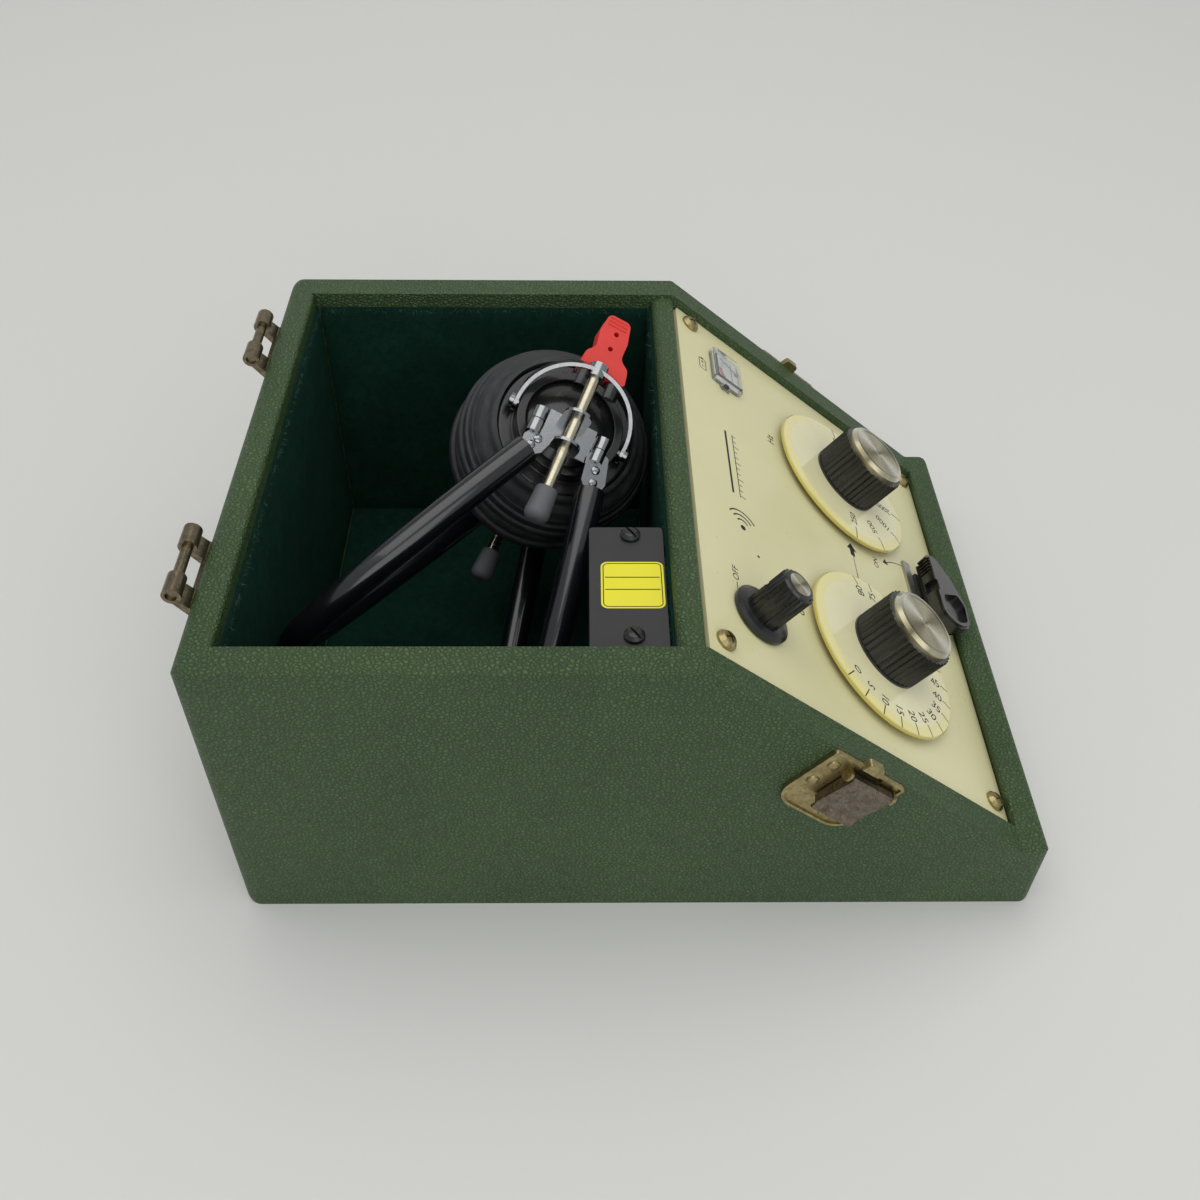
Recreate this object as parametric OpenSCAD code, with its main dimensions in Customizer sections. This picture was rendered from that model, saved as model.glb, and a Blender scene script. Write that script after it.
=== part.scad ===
// Portable audiometer: sloped instrument panel and open compartment with a stowed headset.
// Millimetres, +Z up, -Y is the user's side, origin at the bottom centre of the case.

/* [View] */
// Sub-part to build, or all of them

/* [Case] */
// Length of the case, front to back
case_l = 254; // [250:1:260]
// Width of the case
case_w = 197; // [196:0.5:200]
// Height of the case at the back
case_h = 111; // [110:0.5:113]
// Thickness of the covered side, front and back boards
wall = 10; // [9.5:0.25:10]
// Height of the nose
nose_h = 28; // [27:0.5:29]
// Length of the flat top of the nose
nose_flat = 9.2; // [8.5:0.1:9.6]
// Distance from the back of the case to the top of the slope
deck_l = 141.8; // [141:0.2:143]
// Thickness of the base board
base_t = 8; // [6:0.5:8]
// Thickness of the divider in front of the compartment
divider_t = 7.8; // [7:0.2:8]
// Thickness of the felt lining
felt_t = 1.5; // [1:0.25:1.5]
// Distance from the rim down to the edge of the felt
felt_drop = 5.5; // [4:0.5:8]

/* [Panel] */
// Thickness of the panel plate
panel_t = 1.5; // [1.2:0.1:1.6]
// Depth of the panel face below the slope of the sides
panel_recess = 3; // [2.5:0.1:3.2]
// Distance between the two dials
dial_spacing = 86.4; // [84:0.4:88]
// Distance of the dial centres down the slope
dial_v = 82; // [81:0.5:83]
// Diameter of the dials
dial_d = 63.5; // [60:0.5:64]
// Thickness of the dials
dial_t = 1.8; // [1.4:0.1:2]
// Diameter of the large knobs
knob_d = 28.2; // [26:0.2:29]
// Height of the large knobs above the dials
knob_h = 14.2; // [12:0.2:16]
// Number of flutes on a large knob
knob_flutes = 40; // [32:4:44]
// Diameter of the control shafts
shaft_d = 6.35; // [6:0.05:6.4]
// Diameter of the skirt of the output knob
skirt_d = 20.6; // [19:0.2:21]
// Height of the output knob above the panel
small_knob_h = 16.8; // [15:0.2:18]
// Thickness of the tone paddle
paddle_t = 6.6; // [6:0.2:7]
// Press travel of the tone paddle
paddle_travel = 1.5; // [1:0.1:1.6]

/* [Fittings] */
// Distance of each hinge from the middle of the back
hinge_x = 57.3; // [50:0.1:60]
// Length of each hinge
hinge_l = 27.6; // [26:0.4:30]
// Radius of the hinge knuckles
knuckle_r = 2.75; // [2.6:0.05:3]
// Width of the catch plates along the slope
catch_w = 28.6; // [28.2:0.2:29.4]
// Height of the catch plates
catch_h = 26.3; // [26:0.1:27]
// Length of the catch levers
lever_l = 14.5; // [14:0.25:15]

/* [Compartment] */
// Length of the battery case across the compartment
cell_w = 53; // [52.5:0.25:54]
// Depth of the battery case
cell_d = 22; // [21.75:0.25:22]
// Height of the battery case
cell_h = 95.5; // [94:0.5:96]

/* [Headset] */
// Radius of the ear cushions
cushion_r = 34; // [33:0.25:34]
// Depth of an ear cushion
cushion_t = 21.75; // [21.25:0.25:21.75]
// Radius of the receivers
receiver_r = 23.7; // [23:0.1:24]
// Reach of the outer band from its bracket
band_reach_a = 99.3; // [97:0.3:99.3]
// Reach of the inner band from its bracket
band_reach_b = 89; // [87:0.5:89]
// Outer diameter of the band tubes
tube_d = 9.5; // [9:0.1:9.5]
// Diameter of the yoke rods
rod_d = 4; // [3.8:0.1:4]
// Slide left to the yoke rods while stowed
rod_slide = 12; // [8:0.5:12]

/* [Hidden] */

eps = 0.01;
run = 0.05;
press = 0.02;
gap = 0.3;
hw = case_w / 2;
hl = case_l / 2;
in_x = hw - wall;
in_back = hl - wall;
slope_y = hl - deck_l;
foot_y = -hl + nose_flat;
slope_angle = atan((case_h - nose_h) / (slope_y - foot_y));
sn = sin(slope_angle);
cs = cos(slope_angle);
div_front = slope_y + 0.1;
div_back = div_front + divider_t;
felt_x = in_x - felt_t;
bay_front = div_back + felt_t;
bay_back = in_back - felt_t;
bay_floor = base_t + felt_t;
felt_top = case_h - felt_drop;
panel_half = in_x - 0.2;
panel_v0 = ((panel_recess + panel_t) * sn + 0.1) / cs + 0.25;
panel_v1 = (slope_y - foot_y + panel_recess * sn - gap) / cs;
cleat_w = 13;
cleat_t = 12;
dial_x = dial_spacing / 2;
dial_z = 2;
shaft_r = shaft_d / 2;
board_w = 2 * (in_x - cleat_w - 15);
knob_r = knob_d / 2;
nut_h = 1.6;
screw_uv = [[-78.1, 10.5], [82.7, 10.5], [-79, panel_v1 - 5.3], [82.7, panel_v1 - 5.3]];
panel_screw_r = 1.75;
out_x = -59;
out_v = 26.3;
out_shaft_r = 2.4;
meter_x = 64.9;
meter_v = 25.9;
meter_w = 19;
meter_l = 13.7;
tone_v = panel_v1 - 15.3;
paddle_z = 1.6 + paddle_travel + 0.1;
stem_r = 2.5;
stem_top = paddle_z + 1.7;
hub_r = 5.4;

// ---- helpers ----
function unit(v) = v / norm(v);
function flat2(p) = [p[0], p[1]];
function corner(a, b, c, n) =
    b[2] <= 0 ? [flat2(b)] :
    let(
        u = unit(flat2(a) - flat2(b)),
        w = unit(flat2(c) - flat2(b)),
        half = acos(u * w) / 2,
        t = b[2] / tan(half),
        p0 = flat2(b) + u * t,
        p1 = flat2(b) + w * t,
        m = flat2(b) + unit(u + w) * b[2] / sin(half),
        a0 = atan2(p0[1] - m[1], p0[0] - m[0]),
        d = atan2(p1[1] - m[1], p1[0] - m[0]) - a0,
        s = d > 180 ? d - 360 : (d < -180 ? d + 360 : d)
    )
    [for (k = [0:n]) m + b[2] * [cos(a0 + s * k / n), sin(a0 + s * k / n)]];
// outline through points [x, y, corner radius]
function rounded(p, n = 6) =
    [for (i = [0:len(p) - 1]) each corner(p[(i + len(p) - 1) % len(p)], p[i], p[(i + 1) % len(p)], n)];
function box2(x0, y0, x1, y1, r) = rounded([[x0, y0, r], [x1, y0, r], [x1, y1, r], [x0, y1, r]]);
function flute_outline(r, depth, n) =
    [for (i = [0:n * 4 - 1]) let(a = i * 90 / n, d = [0, 0.62, 1, 0.62][i % 4]) (r - depth * d) * [cos(a), sin(a)]];

// profile in the Y-Z plane, extruded along X from x0 to x1
module yz(x0, x1, pts) {
    translate([x0, 0, 0])
        rotate([90, 0, 90])
            linear_extrude(x1 - x0)
                polygon(pts);
}

// local frame on the panel face: x across, y up the slope, z out
module on_panel() {
    translate([0, slope_y, case_h])
        rotate([slope_angle, 0, 0])
            translate([0, 0, -panel_recess])
                children();
}

// point in Y-Z from distance v down the slope and height h over the slope line
function slope_pt(v, h) = [slope_y - v * cs - h * sn, case_h - v * sn + h * cs];
// point on the line h over the slope at a given y
function slope_at(y, h) = slope_pt((slope_y - h * sn - y) / cs, h);

// ---- case ----
plan = rounded([[-hw, -hl, 4], [hw, -hl, 4], [hw, hl, 5], [-hw, hl, 5]], 8);

module side_profile(x0, x1) {
    intersection() {
        yz(x0, x1, rounded([
            [-hl, 0, 3], [hl, 0, 5], [hl, case_h, 4.5], [slope_y, case_h, 2.5],
            [foot_y, nose_h, 2], [-hl, nose_h, 2.5]
        ], 8));
        linear_extrude(case_h + 1)
            polygon(plan);
    }
}
module side_wall_left() {
    color([0.27, 0.38, 0.25])
        difference() {
            side_profile(-hw, -in_x);
            catch_holes(-1);
        }
}
module side_wall_right() {
    color([0.27, 0.38, 0.25])
        difference() {
            side_profile(in_x, hw);
            catch_holes(1);
        }
}
module back_wall() {
    color([0.27, 0.38, 0.25])
        difference() {
            yz(-in_x, in_x, rounded([
                [in_back, 0, 0], [hl, 0, 5], [hl, case_h, 4.5], [in_back, case_h, 1.5]
            ], 8));
            hinge_screw_holes();
        }
}
module front_wall() {
    color([0.27, 0.38, 0.25])
        yz(-in_x, in_x, rounded([
            [-hl, 0, 3], [foot_y, 0, 0], [foot_y, nose_h, 1], [-hl, nose_h, 2.5]
        ], 8));
}
module base_board() {
    color([0.25, 0.33, 0.22])
        translate([-in_x, foot_y, 0])
            cube([2 * in_x, in_back - foot_y, base_t]);
}
module divider() {
    color([0.27, 0.38, 0.25])
        difference() {
            yz(-in_x, in_x, rounded([
                [div_front, base_t, 0], [div_back, base_t, 0],
                [div_back, case_h - 1.2, 3], [div_front, case_h - 1.2, 1.5]
            ], 8));
            panel_pilots();
        }
}

// ---- felt lining ----
module felt_floor() {
    color([0.07, 0.24, 0.18])
        translate([-felt_x, bay_front, base_t])
            cube([2 * felt_x, bay_back - bay_front, felt_t]);
}
module felt_back() {
    color([0.07, 0.24, 0.18])
        yz(-in_x, in_x, rounded([
            [bay_back, base_t, 0], [in_back, base_t, 0], [in_back, felt_top, 0], [bay_back, felt_top, 0.7]
        ]));
}
module felt_front() {
    color([0.07, 0.24, 0.18])
        yz(-in_x, in_x, rounded([
            [div_back, base_t, 0], [bay_front, base_t, 0], [bay_front, felt_top, 0.7], [div_back, felt_top, 0]
        ]));
}
module felt_side(s) {
    color([0.07, 0.24, 0.18])
        translate([0, bay_front, 0])
            rotate([90, 0, 180])
                translate([0, 0, 0])
                    linear_extrude(bay_back - bay_front)
                        polygon(rounded([
                            [s * felt_x, base_t, 0], [s * in_x, base_t, 0],
                            [s * in_x, felt_top, 0], [s * felt_x, felt_top, 0.7]
                        ]));
}
module felt_left() { felt_side(1); }
module felt_right() { felt_side(-1); }

// ---- panel ----
module screw_places() {
    for (p = screw_uv)
        translate([p[0], -p[1], 0])
            children();
}
// holes for the panel screws, below the panel
module panel_pilots() {
    on_panel()
        screw_places()
            translate([0, 0, -panel_t - 9])
                cylinder(r = panel_screw_r + press, h = 9 + eps, $fn = 24);
}
module panel_cleats() {
    zt = -panel_recess - panel_t;
    zb = zt - cleat_t;
    a = slope_at(div_front - 0.2, zt);
    b = slope_at(div_front - 0.2, zb);
    e = slope_at(foot_y + 0.2, zt);
    v_low = (case_h + zb * cs - base_t) / sn;
    c = slope_pt(v_low, zb);
    pts = [a, b, c, [foot_y + 0.2, base_t], e];
    color([0.72, 0.58, 0.40])
        difference() {
            union() {
                yz(-in_x, -in_x + cleat_w, pts);
                yz(in_x - cleat_w, in_x, pts);
            }
            panel_pilots();
        }
}
module panel() {
    color([0.87, 0.84, 0.70])
        on_panel()
            difference() {
                translate([0, 0, -panel_t])
                    linear_extrude(panel_t)
                        polygon(box2(-panel_half, -panel_v1, panel_half, -panel_v0, 1.5));
                screw_places()
                    translate([0, 0, -panel_t - 1])
                        cylinder(r = panel_screw_r + 0.1, h = 5, $fn = 24);
                for (s = [-1, 1])
                    translate([s * dial_x, -dial_v, -panel_t - 1])
                        cylinder(r = 4.9, h = 5, $fn = 32);
                translate([out_x, -out_v, -panel_t - 1])
                    cylinder(r = 3.6, h = 5, $fn = 32);
                translate([0, -tone_v, -panel_t - 1])
                    cylinder(r = 4.4, h = 5, $fn = 32);
                translate([meter_x, -meter_v, -panel_t - 1])
                    linear_extrude(5)
                        polygon(box2(-8.8, -6.1, 8.8, 6.1, 1));
                for (s = [-1, 1])
                    translate([meter_x + s * 10.85, -meter_v + 1, -panel_t - 1])
                        cylinder(r = 0.95, h = 5, $fn = 20);
            }
}
module panel_screws() {
    color([0.62, 0.50, 0.28])
        on_panel()
            screw_places() {
                difference() {
                    rotate_extrude($fn = 40)
                        polygon(rounded([[0, 0, 0], [3.5, 0, 0], [3.5, 0.8, 0.3], [2.2, 2.2, 1.5], [0, 2.5, 0]]));
                    for (a = [0, 90])
                        rotate([0, 0, a + 25])
                            translate([-1.9, -0.35, 1.5])
                                cube([3.8, 0.7, 2]);
                }
                translate([0, 0, -panel_t - 8.5])
                    cylinder(r = panel_screw_r, h = panel_t + 8.5 + eps, $fn = 24);
            }
}

// ---- hinges on the back: leaf with two rolled knuckles, bare pin between them ----
hinge_z = case_h + 1.3;
hinge_y = hl + 4.3;
curl_t = 1.1;
pin_r = knuckle_r - curl_t - press;
knuckle_l = hinge_l * 0.28;
leaf_drop = 21;
leaf_top = hinge_z - 4.6;
module hinge_places() {
    for (s = [-1, 1])
        translate([s * hinge_x, 0, 0])
            children();
}
module hinge_screw_at() {
    for (x = [-0.34, 0, 0.34])
        translate([x * hinge_l, hl, hinge_z - (x == 0 ? 16.5 : 12)])
            rotate([-90, 0, 0])
                children();
}
module hinge_screw_holes() {
    hinge_places()
        hinge_screw_at()
            translate([0, 0, -7.5])
                cylinder(r = 1.2 + press, h = 8, $fn = 20);
}
module hinge(s) {
    color([0.42, 0.36, 0.26])
        translate([s * hinge_x, 0, 0])
            difference() {
                union() {
                    translate([-hinge_l / 2, hl, hinge_z - leaf_drop])
                        cube([hinge_l, curl_t, leaf_top - hinge_z + leaf_drop]);
                    // each knuckle's curl stands off the board
                    for (x = [-hinge_l / 2, hinge_l / 2 - knuckle_l]) {
                        yz(x, x + knuckle_l, [
                            [hl, leaf_top - 2], [hl + curl_t, leaf_top - 2.6], [hinge_y + 0.4, hinge_z - knuckle_r + 0.2],
                            [hinge_y - 1.4, hinge_z - knuckle_r + 0.9], [hl, leaf_top - 0.4]
                        ]);
                        translate([x, hinge_y, hinge_z])
                            rotate([0, 90, 0])
                                cylinder(r = knuckle_r, h = knuckle_l, $fn = 48);
                    }
                }
                translate([-hinge_l / 2 - 1, hinge_y, hinge_z])
                    rotate([0, 90, 0])
                        cylinder(r = pin_r + press, h = hinge_l + 2, $fn = 48);
                hinge_screw_at()
                    translate([0, 0, -1])
                        cylinder(r = 1.3, h = 4, $fn = 20);
            }
}
module hinge_left() { hinge(-1); }
module hinge_right() { hinge(1); }
module hinge_pins() {
    color([0.55, 0.47, 0.32])
        hinge_places()
            translate([-hinge_l / 2 + 0.8, hinge_y, hinge_z])
                rotate([0, 90, 0])
                    cylinder(r = pin_r, h = hinge_l - 1.6, $fn = 48);
}
module hinge_screws() {
    color([0.55, 0.47, 0.32])
        hinge_places()
            hinge_screw_at() {
                translate([0, 0, -7])
                    cylinder(r = 1.2, h = 7 + curl_t, $fn = 20);
                translate([0, 0, curl_t])
                    rotate_extrude($fn = 32)
                        polygon([[0, 0], [2.3, 0], [2.1, 0.5], [1.2, 0.9], [0, 1]]);
            }
}

// ---- catches on the two sides; local x down the slope, y up towards it, z out ----
catch_v = 48.5;
catch_q = 0.2;
catch_t = 1;
lip = 1.6;
lever_x0 = 9.4;
lever_w = catch_w - 12.4;
lever_y0 = -2.9;
lever_h = 5;
cpin_r = 1;
cpin_y = -4.4;
cpin_z = 2.9;
module on_catch(s) {
    o = slope_pt(catch_v, -catch_q);
    multmatrix([
        [0, 0, s, s * hw],
        [-cs, -sn, 0, o[0]],
        [-sn, cs, 0, o[1]],
        [0, 0, 0, 1]
    ])
        children();
}
catch_rivets = [[4.4, -13.8], [4.2, -5.4], [18.5, -catch_h + 3.6]];
module catch_holes(s) {
    on_catch(s)
        for (p = catch_rivets)
            translate([p[0], p[1], -5])
                cylinder(r = 1 + press, h = 6, $fn = 20);
}
catch_outline = rounded([[0, -catch_h, 7], [catch_w, -catch_h, 7.5], [catch_w, 0, 1.3], [0, 0, 1.3]], 8);
catch_inner = rounded([
    [0.9, -catch_h + 0.9, 6.1], [catch_w - 0.9, -catch_h + 0.9, 6.6], [catch_w - 0.9, -0.9, 0.6], [0.9, -0.9, 0.6]
], 8);
module catch_plate(s) {
    color([0.52, 0.47, 0.33])
        on_catch(s) {
            difference() {
                linear_extrude(lip)
                    polygon(catch_outline);
                translate([0, 0, catch_t])
                    linear_extrude(lip)
                        polygon(catch_inner);
                for (p = catch_rivets)
                    translate([p[0], p[1], -1])
                        cylinder(r = 1.02, h = 6, $fn = 20);
                // slot for the hook at the top edge
                translate([11.5, -2.6, -1])
                    cube([9, 1.5, 4]);
            }
            // ears that carry the lever pin
            for (x = [lever_x0 - 1.4, lever_x0 + lever_w + 0.3])
                difference() {
                    translate([x, 0, 0])
                        rotate([90, 0, 90])
                            linear_extrude(1.2)
                                polygon(rounded([
                                    [cpin_y - 2, catch_t - eps, 0], [cpin_y + 2, catch_t - eps, 0],
                                    [cpin_y + 1.6, cpin_z + 1.7, 1.4], [cpin_y - 1.6, cpin_z + 1.7, 1.4]
                                ]));
                    translate([x - 1, cpin_y, cpin_z])
                        rotate([0, 90, 0])
                            cylinder(r = cpin_r + press, h = 4, $fn = 24);
                }
            // hook ear that meets the lid
            translate([10.4, -0.6, 0])
                linear_extrude(2.6)
                    polygon(rounded([[0, 0, 0], [6.4, 0, 0], [5.9, 3.4, 1], [0.6, 3.4, 1]]));
        }
}
module catch_plate_left() { catch_plate(-1); }
module catch_plate_right() { catch_plate(1); }
module catch_pins() {
    color([0.55, 0.5, 0.38])
        for (s = [-1, 1])
            on_catch(s) {
                translate([lever_x0 - 1.6, cpin_y, cpin_z])
                    rotate([0, 90, 0])
                        cylinder(r = cpin_r, h = lever_w + 3.2, $fn = 24);
                for (p = catch_rivets)
                    translate([p[0], p[1], 0]) {
                        translate([0, 0, -4.5])
                            cylinder(r = 1, h = 4.5 + catch_t + 0.2, $fn = 20);
                        translate([0, 0, catch_t])
                            rotate_extrude($fn = 32)
                                polygon([[0, 0], [1.9, 0], [1.7, 0.4], [1.0, 0.7], [0, 0.8]]);
                    }
            }
}
// folded sheet lever: sloped roof, open underside, thumb lip at its lower end
lever_roof = [
    [lever_y0 - 0.7, catch_t + 0.35], [lever_y0, cpin_z - 0.9], [lever_y0, lever_h - 0.6], [lever_y0 - 0.9, lever_h + 0.2],
    [lever_y0 - lever_l, lever_h - 0.9], [lever_y0 - lever_l - 1.5, lever_h - 0.2],
    [lever_y0 - lever_l - 2.6, lever_h - 0.2], [lever_y0 - lever_l - 2.6, lever_h - 1.1],
    [lever_y0 - lever_l - 0.9, lever_h - 1.1], [lever_y0 - lever_l - 0.3, catch_t + 0.35]
];
lever_hollow = [
    [lever_y0 - 0.9, catch_t - 1], [lever_y0 - 0.9, lever_h - 0.8],
    [lever_y0 - lever_l + 0.6, lever_h - 1.9], [lever_y0 - lever_l + 0.6, catch_t - 1]
];
module catch_lever(s) {
    color([0.5, 0.47, 0.42])
        on_catch(s)
            difference() {
                union() {
                    difference() {
                        translate([lever_x0, 0, 0])
                            rotate([90, 0, 90])
                                linear_extrude(lever_w)
                                    polygon(lever_roof);
                        translate([lever_x0 + 0.9, 0, 0])
                            rotate([90, 0, 90])
                                linear_extrude(lever_w - 1.8)
                                    polygon(lever_hollow);
                    }
                    translate([lever_x0, cpin_y, cpin_z])
                        rotate([0, 90, 0])
                            cylinder(r = cpin_r + 0.55, h = lever_w, $fn = 32);
                }
                translate([lever_x0 - 1, cpin_y, cpin_z])
                    rotate([0, 90, 0])
                        cylinder(r = cpin_r + run, h = lever_w + 2, $fn = 32);
            }
}
module catch_lever_left() { catch_lever(-1); }
module catch_lever_right() { catch_lever(1); }

// ---- battery case in the front corner of the compartment ----
cell_x0 = -felt_x;
cell_y0 = bay_front;
cell_z1 = bay_floor + cell_h;
cell_wall = 1.8;
cell_lid = 1.6;
cell_screws = [[7.8, 9.7], [cell_w - 3.8, 9.7]];
module cell_at() {
    translate([cell_x0, cell_y0, 0])
        children();
}
module battery_case() {
    color([0.16, 0.16, 0.17])
        cell_at()
            difference() {
                union() {
                    difference() {
                        translate([0, 0, bay_floor])
                            linear_extrude(cell_h - cell_lid)
                                polygon(box2(0, 0, cell_w, cell_d, 1.2));
                        translate([0, 0, bay_floor + cell_wall])
                            linear_extrude(cell_h)
                                polygon(box2(cell_wall, cell_wall, cell_w - cell_wall, cell_d - cell_wall, 0.8));
                    }
                    for (p = cell_screws)
                        translate([p[0], p[1], cell_z1 - cell_lid - 12]) {
                            cylinder(r = 3.2, h = 12, $fn = 32);
                            translate([-2.2, 0, 0])
                                cube([4.4, cell_d - p[1] - 1, 12]);
                        }
                }
                for (p = cell_screws)
                    translate([p[0], p[1], cell_z1 - cell_lid - 9])
                        cylinder(r = 1.4 + press, h = 10, $fn = 24);
            }
}
module battery_cover() {
    color([0.16, 0.16, 0.17])
        cell_at()
            difference() {
                translate([0, 0, cell_z1 - cell_lid])
                    linear_extrude(cell_lid)
                        polygon(box2(0, 0, cell_w, cell_d, 1.2));
                for (p = cell_screws)
                    translate([p[0], p[1], cell_z1 - 5])
                        cylinder(r = 1.5, h = 10, $fn = 24);
            }
}
module cover_screws() {
    color([0.12, 0.12, 0.12])
        cell_at()
            for (p = cell_screws)
                translate([p[0], p[1], cell_z1]) {
                    difference() {
                        rotate_extrude($fn = 40)
                            polygon(rounded([[0, 0, 0], [3, 0, 0], [3, 0.9, 0.3], [1.8, 1.9, 1], [0, 2, 0]]));
                        rotate([0, 0, 35])
                            translate([-4, -0.4, 1.1])
                                cube([8, 0.8, 2]);
                    }
                    translate([0, 0, -cell_lid - 8.5])
                        cylinder(r = 1.4, h = cell_lid + 8.5 + eps, $fn = 24);
                }
}
module batteries() {
    color([0.35, 0.2, 0.15])
        cell_at()
            for (k = [0, 1])
                translate([2.3, 2.25, bay_floor + cell_wall + k * 37]) {
                    linear_extrude(26)
                        polygon(box2(0, 0, cell_w - 4.8, 17.4, 1.5));
                    for (x = [0.37, 0.63])
                        translate([x * (cell_w - 4.8), 8.7, 26 - eps])
                            cylinder(r = x < 0.5 ? 2.6 : 3.3, h = 2.4, $fn = 32);
                    // snap strip on the two studs
                    translate([0.24 * (cell_w - 4.8), 4, 28.4])
                        linear_extrude(1.2)
                            polygon(box2(0, 0, 0.52 * (cell_w - 4.8), 9.4, 2));
                }
}

// ---- instrument works under the panel ----
module rotary(r, depth) {
    difference() {
        union() {
            translate([0, 0, -panel_t - depth])
                cylinder(r = r, h = depth, $fn = 64);
            translate([0, 0, -panel_t - eps])
                cylinder(r = 4.75, h = panel_t + nut_h + eps, $fn = 32);
            cylinder(r = 7, h = nut_h - 0.1, $fn = 6);
        }
        translate([0, 0, -panel_t - 14])
            cylinder(r = shaft_r + run, h = 20, $fn = 48);
    }
}
module decibel_attenuator() {
    color([0.45, 0.45, 0.46])
        on_panel()
            translate([-dial_x, -dial_v, 0])
                rotary(21, 26);
}
module frequency_switch() {
    color([0.45, 0.45, 0.46])
        on_panel()
            translate([dial_x, -dial_v, 0])
                rotary(19, 22);
}
module output_switch() {
    color([0.45, 0.45, 0.46])
        on_panel()
            translate([out_x, -out_v, 0])
                difference() {
                    union() {
                        translate([0, 0, -panel_t - 15])
                            cylinder(r = 9, h = 15, $fn = 48);
                        translate([0, 0, -panel_t - eps])
                            cylinder(r = 3.5, h = panel_t + 1.4, $fn = 32);
                        cylinder(r = 5, h = 1.1, $fn = 6);
                    }
                    translate([0, 0, -panel_t - 9])
                        cylinder(r = out_shaft_r + run, h = 20, $fn = 40);
                }
}
pad_outline = rounded([
    [-8.4, -tone_v + 2.6, 2.5], [-9.6, -tone_v - 6, 4], [-1, -tone_v - 11.6, 5], [9, -tone_v - 9.6, 5],
    [18.6, -tone_v - 1, 3], [18.4, -tone_v + 2.6, 2]
], 8);
module tone_switch() {
    color([0.14, 0.14, 0.12])
        on_panel() {
            difference() {
                union() {
                    linear_extrude(1.5)
                        polygon(pad_outline);
                    translate([0, -tone_v, -panel_t - 12])
                        cylinder(r = 8, h = 12, $fn = 40);
                    translate([0, -tone_v, -panel_t - 1])
                        cylinder(r = 4.3, h = panel_t + 1.3, $fn = 32);
                    // aluminium strip behind the paddle
                    linear_extrude(1.1)
                        polygon(box2(-22.4, -tone_v + 3.4, 22.6, -tone_v + 7.2, 0.8));
                }
                translate([0, -tone_v, -panel_t - 8])
                    cylinder(r = 3 + run, h = 20, $fn = 40);
                translate([0, -tone_v, 0.7])
                    cylinder(r = hub_r + 0.6, h = 4, $fn = 48);
            }
        }
}
module circuit_board() {
    color([0.35, 0.3, 0.16])
        translate([-board_w / 2, slope_y - 56, base_t]) {
            translate([0, 0, 6])
                linear_extrude(1.6)
                    polygon(box2(0, 0, board_w, 48, 2));
            for (x = [5, board_w - 5])
                for (y = [5, 43])
                    translate([x, y, 0])
                        cylinder(r = 3, h = 6 + eps, $fn = 24);
            for (k = [0:5])
                translate([board_w / 2 - 48 + k * 18, 24, 7.6 - eps])
                    cylinder(r = 3.6, h = 9, $fn = 24);
            for (k = [0:3])
                translate([board_w / 2 - 48 + k * 26, 36, 7.6 - eps])
                    cube([16, 6, 3.4]);
        }
}
module meter_body() {
    color([0.55, 0.55, 0.55])
        on_panel()
            translate([meter_x, -meter_v, 0]) {
                translate([0, 0, -panel_t - 12])
                    linear_extrude(12 + panel_t + 0.8)
                        polygon(box2(-8.6, -5.9, 8.6, 5.9, 0.8));
                translate([1.5, -5, 1.2])
                    rotate([0, 0, 62])
                        cube([9, 0.35, 0.25]);
                translate([1.5, -5, 0.8 - eps])
                    cylinder(r = 0.9, h = 0.9, $fn = 20);
            }
}
module meter_lens() {
    color([0.85, 0.88, 0.88, 0.4])
        on_panel()
            translate([meter_x, -meter_v, 0]) {
                difference() {
                    union() {
                        linear_extrude(2.2)
                            polygon(box2(-meter_w / 2, -meter_l / 2, meter_w / 2, meter_l / 2, 1.6));
                        translate([0, 0, 2.2 - eps])
                            linear_extrude(0.9, scale = [0.88, 0.84])
                                polygon(box2(-meter_w / 2, -meter_l / 2, meter_w / 2, meter_l / 2, 1.6));
                    }
                    translate([0, 0, -1])
                        linear_extrude(3.2)
                            polygon(box2(-meter_w / 2 + 0.8, -meter_l / 2 + 0.8, meter_w / 2 - 0.8, meter_l / 2 - 0.8, 0.3));
                }
                for (s = [-1, 1])
                    difference() {
                        translate([s * 10.2, 1, 0])
                            linear_extrude(1.2)
                                polygon(box2(-1.6, -2.2, 1.6, 2.2, 0.8));
                        translate([0, 0, -1])
                            linear_extrude(3.2)
                                polygon(box2(-meter_w / 2 + 0.8, -meter_l / 2 + 0.8, meter_w / 2 - 0.8, meter_l / 2 - 0.8, 0.3));
                    }
            }
}

// ---- controls ----
module control_at(x, v) {
    on_panel()
        translate([x, -v, 0])
            children();
}
module dial() {
    rd = dial_d / 2;
    difference() {
        rotate_extrude($fn = 128)
            polygon([
                [0, dial_z], [rd - 0.3, dial_z], [rd, dial_z + 0.3], [rd, dial_z + dial_t * 0.6],
                [rd - 0.3, dial_z + dial_t * 0.75], [rd - 3.6, dial_z + dial_t], [0, dial_z + dial_t]
            ]);
        translate([0, 0, 0])
            cylinder(r = shaft_r + press, h = 10, $fn = 48);
    }
}
module big_knob() {
    z0 = dial_z + dial_t;
    difference() {
        union() {
            rotate_extrude($fn = 96)
                polygon([[0, z0], [knob_r, z0], [knob_r, z0 + 0.7], [knob_r - 0.9, z0 + 1.1], [0, z0 + 1.1]]);
            translate([0, 0, z0 + 1])
                linear_extrude(knob_h - 1)
                    polygon(flute_outline(knob_r, 0.75, knob_flutes));
        }
        translate([0, 0, z0 - 1])
            cylinder(r = shaft_r + press, h = knob_h - 1.5, $fn = 48);
    }
}
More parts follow.
